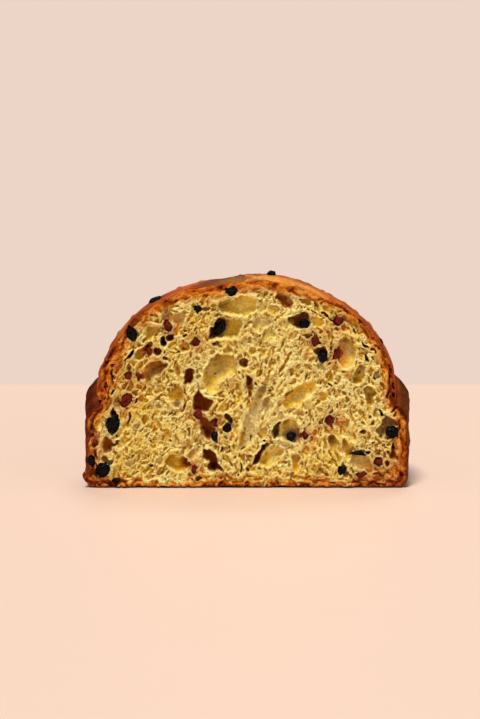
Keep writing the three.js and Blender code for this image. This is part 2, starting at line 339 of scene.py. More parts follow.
def edge_distance():
    """Distance from each point of the raster in to the outline, negative outside it."""
    coarse = 4
    cx, cz = face_x[::coarse, ::coarse], face_z[::coarse, ::coarse]
    distance = np.full(cx.shape, np.inf)
    for px, pz in outline[::2, [0, 2]]:
        distance = np.minimum(distance, np.hypot(cx - px, cz - pz))
    angle = np.arctan2(outline[:, 2] - EYE_HEIGHT, outline[:, 0])
    reach = np.hypot(outline[:, 2] - EYE_HEIGHT, outline[:, 0])
    order = np.argsort(angle)
    here = np.arctan2(cz - EYE_HEIGHT, cx)
    edge = np.interp(here, angle[order], reach[order], period=2 * math.pi)
    distance = np.where(np.hypot(cx, cz - EYE_HEIGHT) < edge, distance, -distance)
    return sampled(distance, face_x, face_z, STEP * coarse)


from_edge = edge_distance()


def face_noise(cell, seed, level=0):
    return noise(face_x, level, face_z, cell, seed)


def face_layers(cell, seed, level=0):
    return layered_noise(face_x, level, face_z, cell, seed)


# Places are read through a gentle distortion, so that no hollow is a clean oval.
warped_x = face_x + 1.7 * face_noise(6.5, 61) + 0.75 * face_noise(2.2, 62)
warped_z = face_z + 1.7 * face_noise(6.5, 63, 9) + 0.75 * face_noise(2.2, 64, 9)

ragged = face_noise(1.8, 69, 11) + 0.6 * face_noise(3.6, 70, 12)  # unevenness of the rims

depth = np.zeros_like(face_x)  # how far the crumb lies behind the cut plane
rim = np.zeros_like(face_x)  # the raised edge round a hollow
# The tint also carries painted shade at a hollow's upper left and painted light at its lower right.
tint = np.zeros(face_x.shape + (3,))  # the colour inside a hollow
tint_weight = np.zeros_like(face_x)  # and how strongly it shows

CREAM = rgb(252, 234, 146)
YELLOW = rgb(242, 204, 72)
# Painted shade: gold laid in the pores and in the low places of the folds.
SHADE_GOLD = rgb(190, 132, 18)
# Painted highlight: near-white laid on the crests between the pores.
CREST_HIGHLIGHT = rgb(255, 245, 176)
# The olive and dark tints stand in part for the shade deep in the hollows: painted shade over the crumb's own
# colour.
TINTS = {
    "gold": rgb(210, 152, 22),
    "olive": rgb(154, 106, 4),
    "brown": rgb(144, 68, 9),
    "dark": rgb(72, 24, 3),
    "red": rgb(124, 34, 10),
    "pale": rgb(238, 208, 112),
    "grey": rgb(190, 168, 112),
    "stain": rgb(206, 108, 34),
    "orange": rgb(228, 150, 28),
    "violet": rgb(120, 78, 84),
    "black": rgb(16, 9, 6),
    "crust": rgb(196, 104, 18),
}
# Painted light: these hollows end in a bright tone at the lower right, where the light falls on them.
LIT_SIDE_TONES = {
    "gold": rgb(255, 210, 60),
    "olive": rgb(254, 216, 84),
    "pale": rgb(255, 234, 130),
    "grey": rgb(236, 216, 150),
}


def lay_tint(window, weight, name, shade_to_light):
    """Colours the inside of a hollow from how far each point lies from its upper left (-1) to its lower right
    (1): darker towards the upper left, which is painted shade, and for the light tints brighter towards the
    lower right, which is painted light."""
    lit_share = smooth(-0.95, 0.55, shade_to_light)[..., None]
    # Painted shade: each tint is darker towards the upper left of its hollow.
    colour = TINTS[name] * (0.62 + 0.6 * lit_share)
    # Painted light: the light tints grow brighter towards the lower right.
    if name in LIT_SIDE_TONES:
        colour = mixed(colour, LIT_SIDE_TONES[name], lit_share)
    stronger = np.maximum(tint_weight[window], weight)
    share = np.where(stronger > 0, weight / np.maximum(stronger, 1e-6), 0)[..., None]
    tint[window] = mixed(tint[window], colour, share)
    tint_weight[window] = stronger


def lay_rim(window, deep, nearness):
    """Raises the edge of a hollow, less round a shallow one."""
    rim[window] = np.maximum(rim[window], min(deep / 4, 1) * nearness)


def window_of(low_x, high_x, low_z, high_z):
    """The part of the raster between these limits."""
    columns = slice(max(int((low_x - X_LOW) / STEP), 0), int((high_x - X_LOW) / STEP) + 1)
    rows = slice(max(int((low_z - Z_LOW) / STEP), 0), int((high_z - Z_LOW) / STEP) + 1)
    return rows, columns


def oval_window(x, z, across, along, lean, margin=1.35):
    """The raster's window round a leaning oval, and how far out in the oval each point lies."""
    reach = margin * max(across, along) / 2 + 2
    window = window_of(x - reach, x + reach + STEP, z - reach, z + reach + STEP)
    dx, dz = warped_x[window] - x, warped_z[window] - z
    c, s = math.cos(math.radians(lean)), math.sin(math.radians(lean))
    u = (dx * c - dz * s) / (across / 2)
    v = (dx * s + dz * c) / (along / 2)
    return window, np.hypot(u, v)


def carve(x, z, across, along, lean, deep, fullness=0.5):
    """Opens a hollow: a bowl with a steep rim, or a shallow dish where fullness is near 1."""
    window, out = oval_window(x, z, across, along, lean)
    bowl = deep * np.clip(1 - out**2.4, 0, 1) ** fullness
    depth[window] = np.maximum(depth[window], bowl)
    width = 0.7 / max(min(across, along) / 2, 0.7)
    lay_rim(window, deep, bell(out - 1 - 0.6 * width, width))


def colour_in(x, z, across, along, lean, name, strength=1.0, spread=0.22):
    """Colours a leaning oval, fading out over the spread on both sides of its edge."""
    window, out = oval_window(x, z, across, along, lean)
    weight = strength * (1 - smooth(1 - spread, 1 + spread, out))
    # How far each point lies from the oval's upper left towards its lower right, which sets the painted shade
    # and painted light in lay_tint.
    shade_to_light = (0.7 * (warped_x[window] - x) - 0.75 * (warped_z[window] - z)) / (max(across, along) / 2)
    lay_tint(window, weight, name, shade_to_light)


CORNER_CUT = 0.22  # how much of each side is cut off at either end


def smoothed_ring(numbers):
    """A closed ring along the given corners, with the corners cut off twice."""
    ring = np.array(numbers, float).reshape(-1, 2)
    for _ in range(2):
        after = np.roll(ring, -1, axis=0)
        ring = np.stack([mixed(ring, after, CORNER_CUT), mixed(after, ring, CORNER_CUT)], 1).reshape(-1, 2)
    return ring


def distance_inside(ring, x, z):
    """Distance from each place in to the ring, negative outside it."""
    nearest = np.full(x.shape, np.inf)
    crossings = np.zeros(x.shape, int)
    for (ax, az), (bx, bz) in zip(ring, np.roll(ring, -1, axis=0)):
        ex, ez = bx - ax, bz - az
        t = np.clip(((x - ax) * ex + (z - az) * ez) / (ex * ex + ez * ez + 1e-9), 0, 1)
        nearest = np.minimum(nearest, (x - ax - t * ex) ** 2 + (z - az - t * ez) ** 2)
        if ez != 0:
            crossings = crossings + (((az > z) != (bz > z)) & (x < ax + (z - az) * ex / ez))
    return np.sqrt(nearest) * np.where(crossings % 2 == 1, 1, -1)


def open_up(numbers, deep, name, strength):
    """Opens a hollow with the given rim, and colours it."""
    ring = smoothed_ring(numbers)
    low, high = ring.min(0) - 3, ring.max(0) + 3
    window = window_of(low[0], high[0], low[1], high[1])
    x = mixed(face_x[window], warped_x[window], 0.55)
    z = mixed(face_z[window], warped_z[window], 0.55)
    inside = distance_inside(ring, x, z) + 0.5 * ragged[window]
    width = max(0.85 * inside.max(), 0.5)
    bowl = deep * np.sqrt(1 - (1 - np.clip(inside / width, 0, 1)) ** 2)
    depth[window] = np.maximum(depth[window], bowl)
    lay_rim(window, deep, bell(inside + 0.5, 0.65))
    # The middle and size of the hollow, and how far each point lies from its upper left towards its lower
    # right, for the painted shade and painted light in lay_tint.
    middle, half = (low + high) / 2, (high - low).min() / 2
    shade_to_light = (0.7 * (x - middle[0]) - 0.75 * (z - middle[1])) / half
    lay_tint(window, strength * smooth(-0.45, 0.6, inside), name, shade_to_light)


# The large gas holes that the knife opened: depth, how the inside is coloured and how strongly,
# and the corners of the rim, x then z.
OPENINGS = [
    # under the top of the dome
    (4.5, "olive", 0.85, [-18.8, 123.4, -14.8, 125.3, -9.6, 126, -4.9, 128.6, -0.2, 128.6, 4.9, 127.2,
     5.9, 125.3, 6.4, 121.5, 4.5, 117.7, 0.7, 115.3, -4.9, 114.6, -10.6, 115.1, -16.2, 116.7,
     -18.6, 119.6]),
    (8.1, "olive", 0.85, [-25.8, 104.4, -25.4, 107.7, -22.8, 107.2, -19.5, 109.1, -17.1, 112,
     -14.8, 112.9, -12.4, 112.5, -8.7, 113.6, -4.9, 113.2, -2.6, 110.6, -2.1, 107.2, -4.5, 104.4,
     -4.9, 101.5, -7.7, 99.6, -11.5, 98.9, -16.2, 99.6, -20.9, 100.1, -23.7, 99.1, -25.4, 100.1]),
    (4, "dark", 0.7, [-23.7, 97.5, -17.6, 98, -19.5, 95.3, -21.6, 94.2]),
    (5.5, "brown", 0.9, [17.6, 127.7, 20.5, 129.6, 24.7, 129.6, 27.5, 128.1, 29.8, 124.8, 29.8, 122,
     28, 120.1, 24.2, 120.1, 21.9, 122, 20.5, 124.8]),
    (4, "olive", 0.85, [33.1, 126, 35.5, 126.7, 40.2, 126.7, 42.5, 124.8, 43, 122, 39.7, 121, 37.4, 122,
     35, 123.9]),
    (8, "red", 0.8, [25.6, 114.8, 30.8, 116, 35.5, 117.7, 38.3, 117.2, 40.7, 114.8, 40.2, 112,
     38.8, 108.7, 37.4, 106.7, 34.5, 105.8, 31.7, 106.3, 28, 109.1, 26.1, 111.5]),
    (2.7, "gold", 0.85, [41.1, 114.8, 44.9, 115.3, 49.6, 112.5, 49.6, 108.7, 45.8, 107.2, 42.1, 108.2,
     40.7, 111]),
    (2.7, "pale", 0.85, [9.2, 102.5, 10.6, 105.8, 14.3, 106.5, 17.6, 105.3, 18.6, 102.5, 18.1, 99.6,
     15.8, 96.8, 12, 95.3, 9.6, 97.2]),
    (4, "brown", 0.7, [36, 102.5, 38.8, 103.9, 42.5, 102.5, 42.1, 99.6, 38.8, 98.7, 36.9, 100.1]),
    (7, "dark", 0.55, [42.1, 91.4, 44.9, 94.4, 49.6, 95, 52.5, 92, 52.8, 88, 49.6, 87, 46.3, 88.2,
     43.9, 89.6]),
    (2.5, "orange", 0.5, [27.5, 91.5, 29.8, 92.5, 27, 86.3, 25.6, 82.5, 22.3, 77.8, 20.5, 75.9,
     21.4, 79.7, 24.7, 84.4]),
    # the middle
    (6.3, "olive", 0.85, [-28.9, 75.9, -27, 81.6, -24.9, 85.8, -21.8, 89.4, -16.2, 90.2, -11.5, 89.9,
     -8.2, 87.3, -6.8, 83.5, -6.8, 79.7, -8.7, 75.9, -12.4, 74, -16.2, 72.1, -19, 68.3, -19.5, 64.5,
     -23.3, 63, -27, 64.5, -28.7, 69.2]),
    (6, "brown", 0.8, [-5.9, 83.9, -4.9, 86.3, -3, 87.5, -0.7, 86.3, 0, 83.5, -0.5, 81.1, -2.6, 80.4,
     -4.9, 81.6]),
    (6, "brown", 0.85, [-1.2, 74, 0.2, 75.4, 2.6, 74.4, 3.5, 69.2, 4, 64.5, 2.6, 60, 0.7, 60, -0.2, 64.5,
     -1.2, 69.2]),
    (4, "gold", 0.85, [22.3, 56, 25.6, 59.8, 26.6, 64.5, 30.8, 66.4, 34.5, 69.3, 39.2, 71.7, 43, 72.1,
     45.8, 69.8, 46.8, 66, 44.4, 63.1, 40.7, 60.2, 37.4, 57.4, 34.5, 54.5, 29.8, 53.6, 25.1, 52.6]),
    (5.9, "olive", 0.9, [26.1, 64, 30.8, 66.9, 31.7, 65, 27.5, 61.7, 23.3, 59.3]),
    # upper left
    (5, "olive", 0.85, [-65.7, 108.9, -59.5, 108.9, -57.2, 107, -57.7, 104.6, -60.5, 102.2, -62.4, 100.8,
     -64.2, 99.4, -68, 97.9, -69.9, 98.4, -68, 101.3, -66.6, 104.6]),
    (11, "dark", 1, [-57.7, 99.4, -57, 101.3, -54.9, 101.5, -53.4, 99.8, -52, 97.5, -53, 95.5,
     -55.3, 94.8, -57.4, 96.5]),
    (10, "dark", 1, [-53.9, 101.7, -52, 103.4, -48.7, 103.2, -48, 100.8, -49.7, 98.6, -52.5, 99.1]),
    (2.7, "olive", 0.85, [-50.6, 98, -47.5, 99, -47, 95.5, -50, 94, -52.5, 94.5]),
    (5.4, "olive", 0.85, [-74.1, 87.5, -73.6, 90.3, -71.3, 92.7, -68, 95.1, -65.2, 97.9, -62.8, 98.9,
     -61.9, 97, -63.8, 94.6, -65.2, 92.2, -66.6, 89.8, -67.1, 87.9, -69.4, 85.6, -72.2, 84.6]),
    (8, "dark", 0.7, [-61.9, 93.6, -61, 94.8, -57.7, 94.1, -56.7, 91.3, -57.7, 88.9, -61, 88.7,
     -62.1, 90.8]),
    (8, "dark", 1, [-74.1, 93.4, -74.6, 90.8, -75.5, 88.4, -78.3, 85.6, -80.2, 84.4, -80.2, 85.6,
     -78.8, 87.9, -76.5, 91.3]),
    (4.5, "olive", 0.95, [-78.8, 83.2, -76.5, 83.7, -76, 79.9, -77.4, 77.5, -79.3, 79.4]),
    (6.5, "brown", 0.7, [-67.5, 80.3, -65.7, 82.7, -63.3, 84.6, -59.1, 85.8, -55.8, 83.7, -52.5, 83.7,
     -52, 80.8, -54.4, 78.4, -56.7, 76.5, -59.1, 74.1, -61.4, 74.6, -61.9, 70.8, -62.8, 68, -65.2, 67,
     -66.6, 69.9, -68, 73.7, -68.5, 77]),
    (9, "brown", 1, [-40.3, 79.1, -37.5, 79.6, -34.2, 79.4, -34.6, 76.5, -35.6, 72.2, -37.5, 69.9,
     -39.8, 68.9, -42.4, 70.3, -42.6, 73.7, -40.8, 76.1]),
    (3.6, "gold", 0.85, [-45, 95.1, -42.6, 97.4, -39.3, 97.9, -37.5, 95.5, -37.9, 92.7, -41.2, 90.8,
     -44, 90.8, -45.5, 92.7]),
    (5, "gold", 0.85, [-50.2, 66, -47.8, 68.3, -44.5, 68.3, -42.2, 66, -41.7, 62.6, -42.2, 59.3,
     -44.5, 54.5, -46.4, 52.6, -48.7, 54, -50.6, 57.9, -52, 61.7]),
    # lower left
    (5.9, "gold", 0.85, [-53.4, 19.8, -51.6, 22.4, -49.2, 22.6, -46.4, 22.1, -44.5, 20.2, -41.7, 21.7,
     -39.3, 18.8, -37.9, 16, -38.9, 12.6, -41.7, 10.7, -45, 10, -48.7, 10.7, -51.6, 13.1, -53.9, 16.9]),
    (7, "brown", 0.8, [-96.2, 33.6, -92.9, 34.5, -90.1, 32.1, -88.7, 29.3, -84.9, 31.2, -84.5, 29.8,
     -88.7, 27.4, -89.6, 24.5, -91.5, 22.6, -95.3, 23.6, -96.2, 27.4]),
    (5, "red", 0.8, [-96.7, 20.2, -93.4, 21.7, -91.5, 18.8, -88.7, 19.3, -89.6, 16.4, -91.5, 13.6,
     -94.8, 16]),
    (8, "dark", 0.95, [-88.7, 54, -86.8, 51.2, -85.4, 48.3, -84.9, 44.5, -86.8, 46.4, -90.1, 47.4,
     -90.6, 50.2, -89.4, 53.1]),
    (2, "red", 0.7, [-103.7, 33.6, -100.9, 33.1, -99.5, 29.8, -100.4, 26.4, -102.8, 26.9, -104.2, 30.7]),
    (3, "dark", 0.9, [-104.3, 43.6, -102.3, 45, -102.8, 41.7, -103.7, 37.9, -104.5, 39.8]),
    (1.2, "brown", 0.5, [-97.5, 50, -92.5, 47, -88.5, 44, -86.5, 38, -87.5, 30, -87, 23, -90, 16, -96, 19,
     -98, 34]),
    # the caves beside the middle
    (10, "brown", 1, [-36.5, 60, -33.6, 64.5, -32.4, 66.7, -30.8, 64, -28.9, 61.2, -25.6, 58.8,
     -23.3, 58.3, -23.7, 55, -24.9, 51.2, -30.3, 50.2, -33.6, 52.1, -36.5, 53]),
    (9, "brown", 0.95, [-32.2, 46.4, -30.3, 48.3, -26.5, 47.4, -24.7, 44.5, -23.7, 40.7, -20.9, 38.8,
     -23.3, 35.5, -24.7, 31.2, -27.5, 32.1, -29.8, 34, -31.7, 37.9]),
    (7, "brown", 0.8, [-15.7, 48.3, -14.3, 50.2, -11.5, 49.3, -10.1, 45.5, -10.6, 42.1, -14.8, 44.5]),
    (8.5, "brown", 0.95, [-29.8, 23.6, -28.9, 26, -25.6, 26.4, -23.3, 25.5, -21.8, 21.2, -20, 18.8,
     -19.5, 15, -16.7, 13.6, -15.7, 10.7, -18.6, 10.7, -24.2, 11.2, -26.1, 13.6, -26.1, 17.9,
     -29.4, 18.8]),
    (4.5, "grey", 0.75, [-5.5, 27, -5.5, 33, -4, 40, -1.5, 47, 1.5, 54, 4, 61, 8, 68, 12.5, 71, 13, 66,
     10.5, 58, 8.6, 50, 7, 42, 5.6, 36, 3.2, 30, 0, 26.5, -3, 25.5]),
    (5.5, "olive", 0.6, [-5.2, 27.6, -5, 33, -3.6, 39, -2, 43, -1.4, 38, -1.6, 32, -2.6, 28]),
    (4, "grey", 0.7, [9, 56, 12, 60, 16, 60, 17, 54, 15, 49, 12.6, 45, 10, 48]),
    (6.8, "pale", 0.85, [15.8, 36.9, 16.7, 39.8, 18.6, 42.6, 20.9, 44.5, 23.3, 44.5, 26.1, 46.4,
     28.9, 46.9, 31.7, 45.5, 33.1, 42.6, 34.5, 38.8, 35, 34, 35, 29.3, 31.7, 30.2, 27, 30.7, 23.7, 32.1,
     20.5, 32.6, 17.2, 33.1]),
    (10, "dark", 0.7, [15.8, 36.9, 17.6, 41.2, 20.9, 44.5, 22.3, 43.6, 22.1, 38.8, 21.4, 34.5, 18.6, 32.6,
     16.5, 34.5]),
    (7.7, "olive", 0.85, [22.6, 42.6, 24.2, 45.5, 27.5, 46.4, 29.4, 41.7, 27.5, 37.4, 24.2, 35.5]),
    (8.5, "red", 0.9, [8.7, 29.3, 12, 29.8, 13.4, 27.4, 10.1, 23.6, 9.2, 19.8, 7.3, 16, 4, 14.5,
     2.6, 15.5, 4.9, 20.2, 5.9, 24.5, 8.2, 25.5]),
    (5, "pale", 0.6, [10.1, 23.1, 14.8, 27.4, 19, 27.9, 23.7, 26.9, 23.3, 21.7, 19, 18.8, 15.8, 15,
     11, 14.5, 7.3, 15.5, 9.2, 19.3]),
    (4, "gold", 0.85, [29.4, 21.7, 34.5, 23.1, 34.5, 13.1, 32.7, 8.3, 29.8, 13.1]),
    # right
    (6.3, "olive", 0.85, [60.1, 98.4, 61.5, 100.1, 64.3, 100.5, 67.6, 100.1, 69.5, 97.9, 71.4, 95.5,
     72.3, 92.7, 71.4, 88.9, 70.4, 85.1, 69, 81.8, 64.8, 79.9, 62.4, 80.3, 60.5, 84.1, 59.6, 86.5,
     59.2, 91]),
    (1, "orange", 1, [62.9, 77, 68.5, 78, 68.1, 74.6, 65.7, 70.8, 63.4, 74.1]),
    (5.4, "olive", 0.85, [69, 77, 70.9, 79.9, 73.2, 81.8, 76.1, 82.2, 77.5, 79.4, 77.5, 76.1, 76.5, 72.2,
     74.6, 69.4, 72.8, 68.4, 70.4, 70.3, 69, 73.7]),
    (5.9, "olive", 0.85, [77, 65.5, 78.4, 67.9, 81.2, 67.9, 84, 66.4, 85, 63.6, 83.1, 60.7, 83.6, 57.4,
     82.6, 54, 80.8, 54.5, 80.3, 50.2, 81.2, 48.3, 79.8, 47.9, 78.4, 52.1, 77.5, 58.3, 77, 61.7]),
    (9, "black", 0.95, [86.4, 54, 87.8, 52.1, 89.7, 49.3, 91.1, 47.9, 88.3, 47.4, 88, 49.8]),
    (6.5, "violet", 0.5, [88.3, 46.9, 91.1, 48.3, 94.4, 47.4, 97.2, 45.5, 99.5, 44, 99.5, 41.7,
     95.8, 40.7, 94.9, 36.9, 91.1, 34, 88.7, 33.1, 86.4, 36, 84.5, 38.8, 86.4, 40.7, 87.8, 42.6]),
    (3.1, "pale", 0.85, [69.9, 21.7, 72.3, 23.6, 75.1, 23.1, 78.4, 21.7, 80.8, 19.8, 81.7, 16.9, 84, 14,
     83.1, 10.2, 79.3, 10.2, 76.1, 13.1, 72.3, 13.6, 69, 16]),
    (4.5, "gold", 0.85, [62, 30.7, 64.3, 34, 67.1, 29.3, 69, 26, 69, 22.6, 67.6, 18.3, 65.7, 20.2,
     62.9, 25]),
    (4.5, "olive", 0.85, [52.6, 33.1, 54.4, 36, 57.3, 34.5, 60.1, 31.2, 60.5, 27.4, 61, 23.1, 62.9, 18.8,
     62, 15.5, 59.1, 18.3, 56.8, 23.6, 53.5, 28.8]),
    (7, "brown", 0.95, [94.4, 26.9, 96.7, 29.3, 97.7, 26.4, 98.6, 23.1, 100.5, 18.8, 99.1, 17.4,
     95.3, 18.8, 93, 21.2, 94.9, 23.6]),
    (3.6, "gold", 0.85, [63.8, 46.9, 65.7, 47.4, 67.6, 45, 66.6, 41.7, 66.6, 38.3, 65, 37.4, 63.9, 41]),
    (4, "brown", 0.7, [74.2, 37.9, 76.5, 39.3, 78.4, 37.9, 77.9, 36, 75.6, 36.4]),
    # stains
    (0, "crust", 0.9, [80, 3, 83, 9, 87, 13.5, 93, 16.5, 99, 18.5, 104, 17, 105, 9, 103, 2]),
    (0, "red", 0.75, [71, 5, 73, 10, 77, 12.5, 82, 12, 85, 9, 83, 5, 77, 4]),
    (0, "crust", 0.7, [-103, 10, -98, 12, -90, 9, -86, 5, -90, 2, -101, 2]),
    (0, "stain", 0.5, [30, 3, 36, 7, 44, 9, 52, 7, 56, 3]),
]

